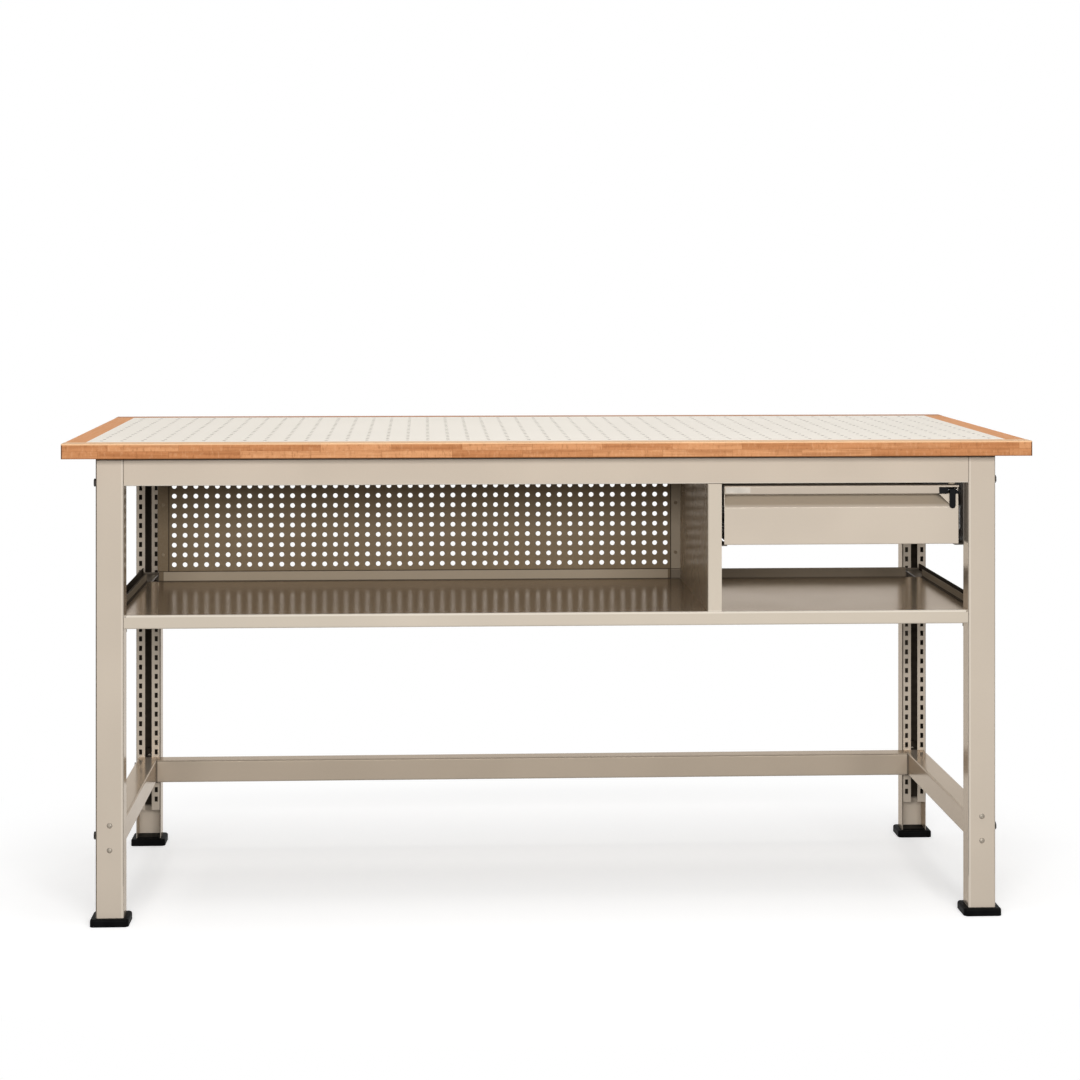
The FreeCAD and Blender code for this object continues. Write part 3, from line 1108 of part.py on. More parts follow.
def pieces():
    """Every piece of the bench, by node name."""
    nodes = {
        "worktop_core": worktop_core(),
        "worktop_panel": worktop_panel(),
        "edge_band_front": long_band(-1),
        "edge_band_rear": long_band(1),
        "edge_band_left": end_band(-1),
        "edge_band_right": end_band(1),
    }
    for name, right in (("leg", leg()), ("foot", foot())):
        nodes[name + "_front_right"] = right
        nodes[name + "_front_left"] = mirrored_x(right)
        nodes[name + "_rear_right"] = mirrored_y(right)
        nodes[name + "_rear_left"] = mirrored_x(mirrored_y(right))
    for name, right in (("side_stretcher", side_stretcher()), ("side_top_rail", side_top_rail()),
                        ("shelf_rail", shelf_rail())):
        nodes[name + "_right"] = right
        nodes[name + "_left"] = mirrored_x(right)
    nodes["rear_stretcher"] = rear_stretcher()
    nodes["front_apron"], nodes["rear_apron"] = drilled_aprons()
    nodes["shelf"] = shelf()
    nodes["back_panel"] = back_panel()
    nodes["panel_bracket"] = panel_bracket()
    nodes["divider"] = divider()
    right_hanger = hanger()
    nodes["drawer_hanger_right"] = right_hanger
    nodes["drawer_hanger_left"] = mirrored_x(right_hanger, DRAWER_MID_X)
    for name, left in (("slide_outer", slide_outer()), ("slide_middle", slide_middle()),
                       ("slide_inner", slide_inner()), ("ball_cage_outer", outer_cage()),
                       ("ball_cage_inner", inner_cage())):
        nodes[name + "_left"] = left
        nodes[name + "_right"] = mirrored_x(left, DRAWER_MID_X)
    nodes["drawer_tray"] = drawer_tray()
    nodes["drawer_front"] = drawer_front()
    nodes["handle_rail"] = handle_rail()
    nodes["label_plate"] = label_plate()
    nodes["latch_body"] = latch_body()
    nodes["latch_lever"] = latch_lever()
    nodes["latch_pin"] = latch_pin()
    nodes["latch_spring"] = latch_spring()
    nodes["latch_keeper"] = latch_keeper()
    for name, group in fastener_groups().items():
        nodes[name] = Part.makeCompound(group)
    return nodes


def export_parts():
    """Writes one STEP file for each piece."""
    os.makedirs("parts", exist_ok=True)
    for name, shape in pieces().items():
        shape.exportStep("parts/" + name + ".step")
        print(name, len(shape.Solids), "solids", round(shape.Volume), "mm3")


export_parts()
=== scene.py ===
"""Looks of a steel workbench with a wood-edged perforated top, a shelf and a drawer."""
import logging
import math
from dataclasses import dataclass, replace
from enum import Enum
from typing import Any, Dict, List, Optional, Sequence, Tuple, Union

import bpy
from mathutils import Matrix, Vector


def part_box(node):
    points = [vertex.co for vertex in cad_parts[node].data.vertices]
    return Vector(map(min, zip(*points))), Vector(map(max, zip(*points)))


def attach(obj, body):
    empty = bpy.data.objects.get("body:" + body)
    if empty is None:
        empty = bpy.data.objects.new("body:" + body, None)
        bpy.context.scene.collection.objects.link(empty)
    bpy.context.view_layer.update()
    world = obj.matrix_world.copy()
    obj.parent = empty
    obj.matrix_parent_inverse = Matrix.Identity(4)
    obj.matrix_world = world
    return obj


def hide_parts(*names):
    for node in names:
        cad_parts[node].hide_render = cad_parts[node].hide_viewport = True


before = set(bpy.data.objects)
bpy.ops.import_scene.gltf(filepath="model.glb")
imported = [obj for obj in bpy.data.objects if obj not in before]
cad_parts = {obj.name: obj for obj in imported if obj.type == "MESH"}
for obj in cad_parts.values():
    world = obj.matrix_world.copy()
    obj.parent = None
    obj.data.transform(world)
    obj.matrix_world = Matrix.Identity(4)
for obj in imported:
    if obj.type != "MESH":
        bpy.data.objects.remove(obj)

LOG = logging.getLogger("workbench")
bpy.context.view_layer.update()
Colour = Tuple[float, float, float]
Point = Tuple[float, float, float]
Number = Union[float, "Value"]
GREIGE: Colour = (0.585, 0.505, 0.415)
# Colour of the painted highlights along bends of shelf, apron and legs.
PAINTED_HIGHLIGHT: Colour = (0.86, 0.79, 0.69)
# Colour of the painted shade along seams, gaps and edges.
PAINTED_SHADE: Colour = (0.045, 0.034, 0.025)


class Axis(Enum):
    """The way that a wooden band's staves run."""

    X = 0
    Y = 1


class Value:
    """A shader socket that sums can be written with."""

    def __init__(self, tree: "ShaderTree", socket: bpy.types.NodeSocket) -> None:
        """Keeps the socket and the tree it belongs to.

        Args:
            tree: the tree that new nodes go into.
            socket: the output that this value stands for.
        """
        self.tree = tree
        self.socket = socket

    def _math(self, operation: str, *others: Number) -> "Value":
        """One node of arithmetic on this value.

        Args:
            operation: the Math node's operation.
            others: the second and third operands.

        Returns:
            The node's result.
        """
        inputs = {0: self}
        inputs.update({place + 1: other for place, other in enumerate(others)})
        return self.tree.value("ShaderNodeMath", {"operation": operation}, inputs)

    def __add__(self, other: Number) -> "Value":
        """The sum."""
        return self._math("ADD", other)

    __radd__ = __add__

    def __sub__(self, other: Number) -> "Value":
        """The difference."""
        return self._math("SUBTRACT", other)

    def __rsub__(self, other: Number) -> "Value":
        """The difference from a plain number."""
        return self._math("MULTIPLY_ADD", -1.0, other)

    def __mul__(self, other: Number) -> "Value":
        """The product."""
        return self._math("MULTIPLY", other)

    __rmul__ = __mul__

    def __truediv__(self, other: Number) -> "Value":
        """The quotient."""
        return self._math("DIVIDE", other)

    def floor(self) -> "Value":
        """The whole part.

        Returns:
            The value rounded down.
        """
        return self._math("FLOOR")

    def fraction(self) -> "Value":
        """The part after the point.

        Returns:
            The value less its whole part.
        """
        return self._math("FRACT")

    def size(self) -> "Value":
        """The value without its sign.

        Returns:
            The absolute value.
        """
        return self._math("ABSOLUTE")

    def power(self, exponent: float) -> "Value":
        """A power of the value.

        Args:
            exponent: the power.

        Returns:
            The value to that power.
        """
        return self._math("POWER", exponent)

    def within(self, low: float, high: float, soft: float = 0.0004) -> "Value":
        """One between two limits and nought outside them.

        Args:
            low: the lower limit.
            high: the upper limit.
            soft: the width of each soft border, outside the limits.

        Returns:
            The mask.
        """
        return self.ramp(low - soft, low) * self.ramp(high, high + soft, 1.0, 0.0)

    def ramp(self, low: float, high: float, start: float = 0.0, end: float = 1.0) -> "Value":
        """A smooth step between two limits.

        Args:
            low: where the step starts.
            high: where the step ends.
            start: the result at and before low.
            end: the result at and after high.

        Returns:
            The stepped value.
        """
        settings = {"interpolation_type": "SMOOTHSTEP"}
        inputs = {"Value": self, "From Min": low, "From Max": high, "To Min": start, "To Max": end}
        return self.tree.value("ShaderNodeMapRange", settings, inputs)


class ShaderTree:
    """A material's node tree, filled one node at a time."""

    def __init__(self, name: str) -> None:
        """Starts an empty material.

        Args:
            name: the material's name.
        """
        self.material = bpy.data.materials.new(name)
        self.material.use_nodes = True
        self.tree = self.material.node_tree
        self.tree.nodes.clear()

    def node(self, kind: str, settings: Dict[str, Any], inputs: Dict[Union[str, int], Any]) -> bpy.types.Node:
        """Adds a node.

        Args:
            kind: the node's type.
            settings: properties of the node by name.
            inputs: values or links of its inputs, by name or place.

        Returns:
            The new node.
        """
        made = self.tree.nodes.new(kind)
        for key, setting in settings.items():
            setattr(made, key, setting)
        for key, entry in inputs.items():
            if isinstance(entry, Value):
                self.tree.links.new(entry.socket, made.inputs[key])
            elif isinstance(entry, bpy.types.NodeSocket):
                self.tree.links.new(entry, made.inputs[key])
            else:
                made.inputs[key].default_value = entry
        return made

    def value(self, kind: str, settings: Dict[str, Any], inputs: Dict[Union[str, int], Any],
              output: Union[str, int] = 0) -> Value:
        """Adds a node and wraps one of its outputs.

        Args:
            kind: the node's type.
            settings: properties of the node by name.
            inputs: values or links of its inputs, by name or place.
            output: which output to wrap.

        Returns:
            The wrapped output.
        """
        return Value(self, self.node(kind, settings, inputs).outputs[output])

    def place(self) -> Value:
        """The place on the object in metres.

        Returns:
            Object coordinates.
        """
        return self.value("ShaderNodeTexCoord", {}, {}, "Object")

    def axes(self, vector: Value) -> Tuple[Value, Value, Value]:
        """Splits a vector.

        Args:
            vector: the vector.

        Returns:
            Its three parts.
        """
        parts = self.node("ShaderNodeSeparateXYZ", {}, {0: vector}).outputs
        return Value(self, parts[0]), Value(self, parts[1]), Value(self, parts[2])

    def joined(self, x: Number, y: Number, z: Number) -> Value:
        """A vector out of three parts.

        Args:
            x: the first part.
            y: the second part.
            z: the third part.

        Returns:
            The vector.
        """
        return self.value("ShaderNodeCombineXYZ", {}, {0: x, 1: y, 2: z})

    def noise(self, vector: Value, scale: float, detail: float = 2.0, roughness: float = 0.5) -> Value:
        """Soft noise from 0 to 1.

        Args:
            vector: where to read the noise.
            scale: features for each metre.
            detail: octaves.
            roughness: weight of the finer octaves.

        Returns:
            The noise.
        """
        inputs = {"Vector": vector, "Scale": scale, "Detail": detail, "Roughness": roughness}
        return self.value("ShaderNodeTexNoise", {"noise_dimensions": "3D"}, inputs, 0)

    def dice(self, vector: Value) -> Value:
        """A random number for each whole place.

        Args:
            vector: the place.

        Returns:
            A number from 0 to 1.
        """
        return self.value("ShaderNodeTexWhiteNoise", {"noise_dimensions": "3D"}, {"Vector": vector}, 0)

    def mixed(self, factor: Number, first: Any, second: Any) -> Value:
        """A blend of two colours.

        Args:
            factor: how much of the second.
            first: colour or link.
            second: colour or link.

        Returns:
            The blended colour.
        """
        settings = {"data_type": "RGBA", "blend_type": "MIX"}
        return self.value("ShaderNodeMix", settings, {0: factor, 6: shade(first), 7: shade(second)}, 2)

    def bump(self, height: Value, strength: float, depth: float) -> Value:
        """A bumped normal.

        Args:
            height: the height.
            strength: how strong.
            depth: the height's depth in metres.

        Returns:
            The normal.
        """
        inputs = {"Strength": strength, "Distance": depth, "Height": height}
        return self.value("ShaderNodeBump", {}, inputs)

    def upright(self) -> Value:
        """How far the face looks up.

        Returns:
            The true normal's upward part.
        """
        geometry = self.value("ShaderNodeNewGeometry", {}, {}, "True Normal")
        return self.axes(geometry)[2]

    def aside(self) -> Value:
        """How far the face looks away from the front and the rear.

        Returns:
            One less the size of the true normal's forward part.
        """
        geometry = self.value("ShaderNodeNewGeometry", {}, {}, "True Normal")
        return 1.0 - self.axes(geometry)[1].size()

    def surface(self, inputs: Dict[Union[str, int], Any]) -> bpy.types.Material:
        """Ends the tree with a surface.

        Args:
            inputs: the surface's inputs by name.

        Returns:
            The finished material.
        """
        body = self.node("ShaderNodeBsdfPrincipled", {}, inputs)
        self.node("ShaderNodeOutputMaterial", {}, {"Surface": body.outputs[0]})
        return self.material


def shade(colour: Any) -> Any:
    """A colour with its alpha, or a link as it is.

    Args:
        colour: three numbers or a link.

    Returns:
        Four numbers or the link.
    """
    if isinstance(colour, tuple) and len(colour) == 3:
        return (*colour, 1.0)
    return colour


@dataclass(frozen=True)
class LegHollow:
    """The room inside the four legs, where the coat is painted dark as shade."""

    inner_x: float
    outer_x: float
    middle_y: float
    near_y: float
    far_y: float
    low_z: float
    fade: float = 0.004

    @classmethod
    def from_frame(cls, wall: float = 0.002, cutaway: float = 0.060) -> "LegHollow":
        """Works the room out from two of the legs.

        Args:
            wall: the legs' sheet thickness.
            cutaway: how far up from the foot the legs are open.

        Returns:
            The room, bounded half a wall inside the legs' faces.
        """
        front_low, front_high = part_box("leg_front_right")
        rear_low, rear_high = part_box("leg_rear_right")
        middle = (front_low[1] + rear_high[1]) / 2
        half = wall / 2
        return cls(front_low[0] + half, front_high[0] - half, middle, rear_low[1] - middle + half,
                   rear_high[1] - middle - half, front_low[2] + cutaway)

    def mask(self, tree: ShaderTree, place: Value) -> Value:
        """One inside the legs.

        Args:
            tree: the finish that asks.
            place: the place on the object.

        Returns:
            The mask.
        """
        x, y, z = tree.axes(place)
        across = x.size().within(self.inner_x, self.outer_x)
        along = (y - self.middle_y).size().within(self.near_y, self.far_y)
        return across * along * z.ramp(self.low_z - self.fade, self.low_z + self.fade)


@dataclass(frozen=True)
class Seam:
    """A box round a fold, a lap or an edge, painted with shade or with a highlight, on one side of the middle
    or both.
    """

    low: Point
    high: Point
    both_sides: bool = False
    strength: float = 0.85
    tone: Colour = PAINTED_SHADE
    dullness: float = 0.7

    def mask(self, tree: ShaderTree, place: Value) -> Value:
        """One inside the seam.

        Args:
            tree: the finish that asks.
            place: the place on the object.

        Returns:
            The mask.
        """
        x, y, z = tree.axes(place)
        across = (x.size() if self.both_sides else x).within(self.low[0], self.high[0])
        return across * y.within(self.low[1], self.high[1]) * z.within(self.low[2], self.high[2])


@dataclass(frozen=True)
class PowderCoat:
    """Satin powder coat on folded steel."""

    name: str
    colour: Colour
    roughness: float = 0.16
    sheen: float = 0.45
    cloud_scale: float = 5.0
    speck_scale: float = 420.0
    peel_scale: float = 900.0
    peel_depth: float = 0.00003
    darker: float = 0.95
    lighter: float = 1.04
    # The next four fields paint shade: the coat turns darker and browner behind the front plane.
    inside: float = 1.0
    warming: Colour = (1.0, 1.15, 1.4)
    front: float = -0.319
    fade: float = 0.007
    burnish: float = 0.0
    tint: Colour = (1.0, 0.90, 0.77)
    seams: Tuple[Seam, ...] = ()
    hollow: Optional[LegHollow] = None
    # Colour of the painted shade inside the legs, and how much rougher it makes them.
    hollow_shade: Colour = (0.027, 0.0204, 0.015)
    hollow_dullness: float = 0.6

    def material(self) -> bpy.types.Material:
        """Builds the finish.

        Returns:
            The material.
        """
        tree = ShaderTree(self.name)
        place = tree.place()
        broad = tree.noise(place, self.cloud_scale)
        speck = tree.noise(place, self.speck_scale, 3.0)
        peel = tree.noise(place, self.peel_scale, 2.0)
        dark = tuple(part * self.darker for part in self.colour)
        light = tuple(min(part * self.lighter, 1.0) for part in self.colour)
        base = tree.mixed(broad.ramp(0.3, 0.7) * 0.6 + speck * 0.4, dark, light)
        metal = tree.aside().ramp(0.6, 0.9) * self.burnish
        # Painted shade: darker and browner behind the front plane.
        if self.inside < 1.0:
            deep = tree.axes(place)[1].ramp(self.front, self.front + self.fade)
            tone = tuple(part * self.inside ** power for part, power in zip(self.colour, self.warming))
            base = tree.mixed(deep, base, tree.mixed(speck * 0.12, tone, dark))
            metal = metal * deep
        rough = broad.ramp(0.25, 0.75, self.roughness - 0.03, self.roughness + 0.03) + speck * 0.03
        # Each seam paints shade or a highlight into the base colour and makes it rougher.
        for seam in self.seams:
            painted_line = seam.mask(tree, place)
            base = tree.mixed(painted_line * seam.strength, base, seam.tone)
            rough = rough + painted_line * seam.dullness
            metal = metal * (1.0 - painted_line)
        # Painted shade inside the legs' hollows.
        if self.hollow:
            hollow_shade_mask = self.hollow.mask(tree, place)
            base = tree.mixed(hollow_shade_mask, base, self.hollow_shade)
            rough = rough + hollow_shade_mask * self.hollow_dullness
            metal = metal * (1.0 - hollow_shade_mask)
        return tree.surface({"Base Color": base, "Roughness": rough, "Specular IOR Level": self.sheen,
                             "Metallic": metal, "Specular Tint": shade(self.tint),
                             "Normal": tree.bump(peel, 0.25, self.peel_depth)})


@dataclass(frozen=True)
class Streak:
    """Noise drawn out along the grain, shifted from stave to stave."""

    along: float
    across: float
    up: float
    jump: float
    octaves: float
    weight: float = 0.5

    def value(self, tree: ShaderTree, place: Tuple[Value, Value, Value], seed: Value) -> Value:
        """Reads the noise.

        Args:
            tree: the finish that asks.
            place: the place along the grain, across it and up.
            seed: a random number for each stave.

        Returns:
            The noise.
        """
        run, across, up = place
        drift = tree.joined(run * self.along + seed * self.jump, across * self.across, up * self.up)
        return tree.noise(drift, 1.0, self.octaves, self.weight)


@dataclass(frozen=True)
class Beech:
    """Glued staves of steamed beech."""

    name: str
    along: Axis
    stave: float = 0.13
    layer: float = 0.014
    strip: float = 0.020
    seam: float = 0.0005
    seed: float = 3.7
    # How much painted highlight the up-facing faces and the top arris get.
    lightened: float = 0.0
    reach: float = 0.0
    underside: float = 0.872
    # Where the painted shade along the band's lower edge lies.
    foot: Tuple[float, float] = (0.8725, 0.8745)
    arris: Tuple[float, float] = (0.8970, 0.8984)
    end_grain: Tuple[float, float] = (0.0030, 0.0018)
    end_tone: float = 0.35
    grain: Streak = Streak(6.0, 150.0, 150.0, 31.0, 5.0, 0.65)
    flecks: Streak = Streak(70.0, 900.0, 900.0, 17.0, 2.0)
    patches: Streak = Streak(14.0, 22.0, 22.0, 9.0, 3.0)
    rays: Streak = Streak(230.0, 60.0, 90.0, 13.0, 3.0, 0.6)
    pale: Colour = (0.67, 0.315, 0.137)
    warm: Colour = (0.53, 0.216, 0.080)
    deep: Colour = (0.30, 0.110, 0.035)
    # Pale colour of the rays, also used for the painted highlight.
    pale_ray_and_highlight: Colour = (0.93, 0.62, 0.36)

    def material(self) -> bpy.types.Material:
        """Builds the finish.

        Returns:
            The material.
        """
        tree = ShaderTree(self.name)
        place = tree.place()
        x, y, z = tree.axes(place)
        run, across = (x, y) if self.along is Axis.X else (y, x)
        lift = (z - self.underside) / self.layer
        level = lift.floor()
        lane = (across / self.strip).floor()
        shift = tree.dice(tree.joined(level, lane, self.seed))
        stretch = run / self.stave + shift
        cell = tree.joined(stretch.floor(), level, lane)
        tone = tree.dice(cell)
        second = tree.dice(tree.joined(lane, stretch.floor(), level))
        spot = (run, across, z)
        grain = self.grain.value(tree, spot, tone)
        flecks = self.flecks.value(tree, spot, second)
        patch = self.patches.value(tree, spot, second)
        rays = self.rays.value(tree, spot, second)
        end_seam = (stretch.fraction() - 0.5).size().ramp(0.5 - self.seam / self.stave * 1.6, 0.5)
        level_seam = (lift.fraction() - 0.5).size().ramp(0.5 - self.seam / self.layer, 0.5)
        # The last layer is painted shade along the band's lower edge.
        layers = [(patch.ramp(0.45, 0.75) * 0.35, self.warm), (grain.ramp(0.40, 0.72) * 0.60, self.deep),
                  (flecks.ramp(0.60, 0.76) * 0.35, self.deep), (rays.ramp(0.54, 0.70) * 0.45, self.deep),
                  (rays.ramp(0.46, 0.32) * 0.12, self.pale_ray_and_highlight), (end_seam * 0.5, self.deep),
                  (level_seam * 0.5, self.deep), (z.ramp(*self.foot, 0.75, 0.0), self.deep)]
        # Darker end grain at the band's ends, partly painted shade along the end edge.
        if self.reach:
            grain_end = run.size().ramp(*(self.reach - depth for depth in self.end_grain))
            layers.append((grain_end * 0.9, tuple(part * self.end_tone for part in self.deep)))
        # Painted highlight on the up-facing faces and the top arris.
        if self.lightened:
            edge = tree.upright().ramp(0.3, 0.8) + z.ramp(*self.arris)
            layers.append((edge.ramp(0.0, 1.0) * self.lightened, self.pale_ray_and_highlight))
        wood = tree.mixed(tone.ramp(0.05, 0.95), self.warm, self.pale)
        for cover, colour in layers:
            wood = tree.mixed(cover, wood, colour)
        rough = grain.ramp(0.3, 0.7, 0.50, 0.62)
        return tree.surface({"Base Color": wood, "Roughness": rough, "Specular IOR Level": 0.14,
                             "Normal": tree.bump(flecks, 0.2, 0.0002)})


@dataclass(frozen=True)
class Laminate:
    """A pale laminate face whose cut hole walls show dark board, with painted shade in a ring round each
    hole.
    """

    name: str
    face: Colour
    wall: Colour
    pitch: float = 0.038
    rim: float = 0.0043
    rim_fade: float = 0.0008
    rim_strength: float = 0.48

    def material(self) -> bpy.types.Material:
        """Builds the finish.

        Returns:
            The material.
        """
        tree = ShaderTree(self.name)
        place = tree.place()
        cloud = tree.noise(place, 3.0)
        speck = tree.noise(place, 900.0, 3.0)
        tint = tuple(part * 0.96 for part in self.face)
        face = tree.mixed(cloud.ramp(0.3, 0.7) * 0.6 + speck * 0.4, self.face, tint)
        x, y, _ = tree.axes(place)
        east, north = ((((part / self.pitch) + 0.5).fraction() - 0.5) * self.pitch for part in (x, y))
        reach = (east * east + north * north).power(0.5)
        # Painted shade in a ring round each hole.
        hole_shade = reach.ramp(self.rim, self.rim - self.rim_fade) * self.rim_strength
        face = tree.mixed(hole_shade, face, self.wall)
        base = tree.mixed(tree.upright().ramp(0.6, 0.9), self.wall, face)
        rough = speck.ramp(0.3, 0.7, 0.5, 0.6)
        return tree.surface({"Base Color": base, "Roughness": rough, "Specular IOR Level": 0.35,
                             "Normal": tree.bump(speck, 0.1, 0.00005)})


@dataclass(frozen=True)
class Board:
    """Raw pressed board."""

    name: str
    colour: Colour

    def material(self) -> bpy.types.Material:
        """Builds the finish.

        Returns:
            The material.
        """
        tree = ShaderTree(self.name)
        place = tree.place()
        chips = tree.noise(place, 260.0, 4.0, 0.65)
        dark = tuple(part * 0.6 for part in self.colour)
        base = tree.mixed(chips.ramp(0.35, 0.65), dark, self.colour)
        return tree.surface({"Base Color": base, "Roughness": chips.ramp(0.3, 0.7, 0.75, 0.9),
                             "Normal": tree.bump(chips, 0.4, 0.0004)})


@dataclass(frozen=True)
class Moulded:
    """Moulded rubber or plastic with a fine grain."""

    name: str
    colour: Colour
    roughness: float
    grain: float = 700.0
    sheen: float = 0.45

    def material(self) -> bpy.types.Material:
        """Builds the finish.

        Returns:
            The material.
        """
        tree = ShaderTree(self.name)
        place = tree.place()
        fine = tree.noise(place, self.grain, 2.0)
        wide = tree.noise(place, 30.0, 2.0)
        lightened = tuple(min(part * 1.7 + 0.004, 1.0) for part in self.colour)
        base = tree.mixed(wide.ramp(0.35, 0.75) * 0.6 + fine * 0.2, self.colour, lightened)
        rough = fine.ramp(0.3, 0.7, self.roughness - 0.06, self.roughness + 0.06)
        return tree.surface({"Base Color": base, "Roughness": rough, "Specular IOR Level": self.sheen,
                             "Normal": tree.bump(fine, 0.3, 0.0001)})


@dataclass(frozen=True)
class Zinc:
    """Zinc-plated steel with faint draw marks along one axis."""

    name: str
    colour: Colour
    roughness: float

    def material(self) -> bpy.types.Material:
        """Builds the finish.

        Returns:
            The material.
        """
        tree = ShaderTree(self.name)
        place = tree.place()
        x, y, z = tree.axes(place)
        streak = tree.noise(tree.joined(x * 900.0, y * 12.0, z * 900.0), 1.0, 3.0)
        bloom = tree.noise(place, 120.0, 3.0)
        dull = tuple(part * 0.8 for part in self.colour)
        base = tree.mixed(streak * 0.5 + bloom.ramp(0.3, 0.7) * 0.5, dull, self.colour)
        rough = bloom.ramp(0.3, 0.7, self.roughness - 0.05, self.roughness + 0.07)
        return tree.surface({"Base Color": base, "Roughness": rough, "Metallic": 1.0,
                             "Normal": tree.bump(streak, 0.12, 0.00005)})


def dress(nodes: Sequence[str], material: bpy.types.Material) -> None:
    """Gives CAD nodes a finish in their own material slots.

    Args:
        nodes: names of the nodes.
        material: the finish.
    """
    for name in nodes:
        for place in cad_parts[name].material_slots:
            place.material = material


def four(stem: str) -> List[str]:
    """Names of a piece at all four legs.

    Args:
        stem: the piece's name.

    Returns:
        The four node names.
    """
    return [f"{stem}_{end}_{side}" for end in ("front", "rear") for side in ("left", "right")]


def pair(stem: str) -> List[str]:
    """Names of a piece on both sides.

    Args:
        stem: the piece's name.

    Returns:
        The two node names.
    """
    return [f"{stem}_left", f"{stem}_right"]


@dataclass
class Worktop:
    """The board, its perforated face and its wooden bands."""

    # The front and end bands get painted highlights on their tops; the front band's ends are darker.
    front_band: Beech = Beech("beech_front", Axis.X, lightened=0.7, reach=0.9)
    rear_band: Beech = Beech("beech_rear", Axis.X)
    end_bands: Beech = Beech("beech_ends", Axis.Y, lightened=0.6, pale_ray_and_highlight=(0.84, 0.37, 0.13))
    face: Laminate = Laminate("top_laminate", (0.92, 0.86, 0.765), (0.10, 0.075, 0.05))
    core: Board = Board("top_board", (0.16, 0.11, 0.07))

    def build(self) -> None:
        """Dresses the worktop."""
        dress(["edge_band_front"], self.front_band.material())
        dress(["edge_band_rear"], self.rear_band.material())
        dress(["edge_band_left", "edge_band_right"], self.end_bands.material())
        dress(["worktop_panel"], self.face.material())
        dress(["worktop_core"], self.core.material())


@dataclass
class SteelFrame:
    """Legs, feet, aprons, rails and stretchers with their bolts."""

    coat: PowderCoat
    shaded: PowderCoat
    rubber: Moulded = Moulded("foot_rubber", (0.002, 0.002, 0.002), 0.50, sheen=0.03)
    bolts: Zinc = Zinc("bolt_zinc", (0.34, 0.30, 0.25), 0.42)
    black_bolts: Zinc = Zinc("bolt_black", (0.03, 0.028, 0.026), 0.40)

    def build(self) -> None:
        """Dresses the frame."""
        nodes = four("leg") + pair("side_top_rail") + pair("side_stretcher")
        dress(nodes + ["front_apron", "rear_apron"], self.coat.material())
        # The rear stretcher's darker coat is painted shade.
        dress(["rear_stretcher"], self.shaded.material())
        dress(four("foot"), self.rubber.material())
        groups = ["leg_web_bolts", "apron_bolts", "rear_stretcher_bolts", "shelf_rail_bolts",
                  "worktop_screws", "slide_rivets_frame", "slide_rivets_drawer", "drawer_screws"]
        dress(groups, self.bolts.material())
        dress(["leg_side_bolts"], self.black_bolts.material())

    @staticmethod
    def seams(line: float = 0.0022, arris: float = 0.003, gap: float = 0.007,
              shadow: Colour = (0.050, 0.024, 0.010)) -> Tuple[Seam, ...]:
        """Painted shadow in the gap under the worktop, and painted shade and painted highlights on the edges
        of apron, legs and rear stretcher.

        Args:
            line: the width of a line.
            arris: how far a leg's bend reaches back.
            gap: how far the shadow gap reaches down.
            shadow: the shadow gap's colour.

        Returns:
            The seams.
        """
        low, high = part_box("leg_front_right")
        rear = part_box("leg_rear_right")[0]
        near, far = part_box("rear_stretcher")
        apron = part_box("front_apron")[0][2]
        face = low[1] - line
        back = near[1] - line
        # Painted shadow under the worktop; painted highlights on the apron's lower edge and the front legs'
        # inner bends; painted shade on the left front leg's outer edge, the rear legs' inner edges and the
        # rear stretcher's ends and top flange.
        return (
            Seam((0.0, face, high[2] - gap), (high[0], low[1] + 3 * line, high[2] + line), True, tone=shadow),
            Seam((0.0, face, apron - line), (low[0], low[1] + line, apron + line), True, 0.45, PAINTED_HIGHLIGHT),
            Seam((low[0], face, low[2]), (low[0] + 2 * line, low[1] + line, high[2] - gap), True, 0.3,
                 PAINTED_HIGHLIGHT),
            Seam((-high[0] - line, face, low[2]), (line - high[0], low[1] + arris, high[2]), strength=0.7),
            Seam((rear[0] - line, rear[1] - line, low[2]),
                 (rear[0] + line, rear[1] + line / 2, high[2]), True),
            Seam((far[0] - line, back, near[2]), (far[0], near[1] + line, far[2]), True, 0.7),
            Seam((0.0, back, far[2] - line), (far[0], near[1] + line / 2, far[2] - line / 4), True, 0.4),
        )


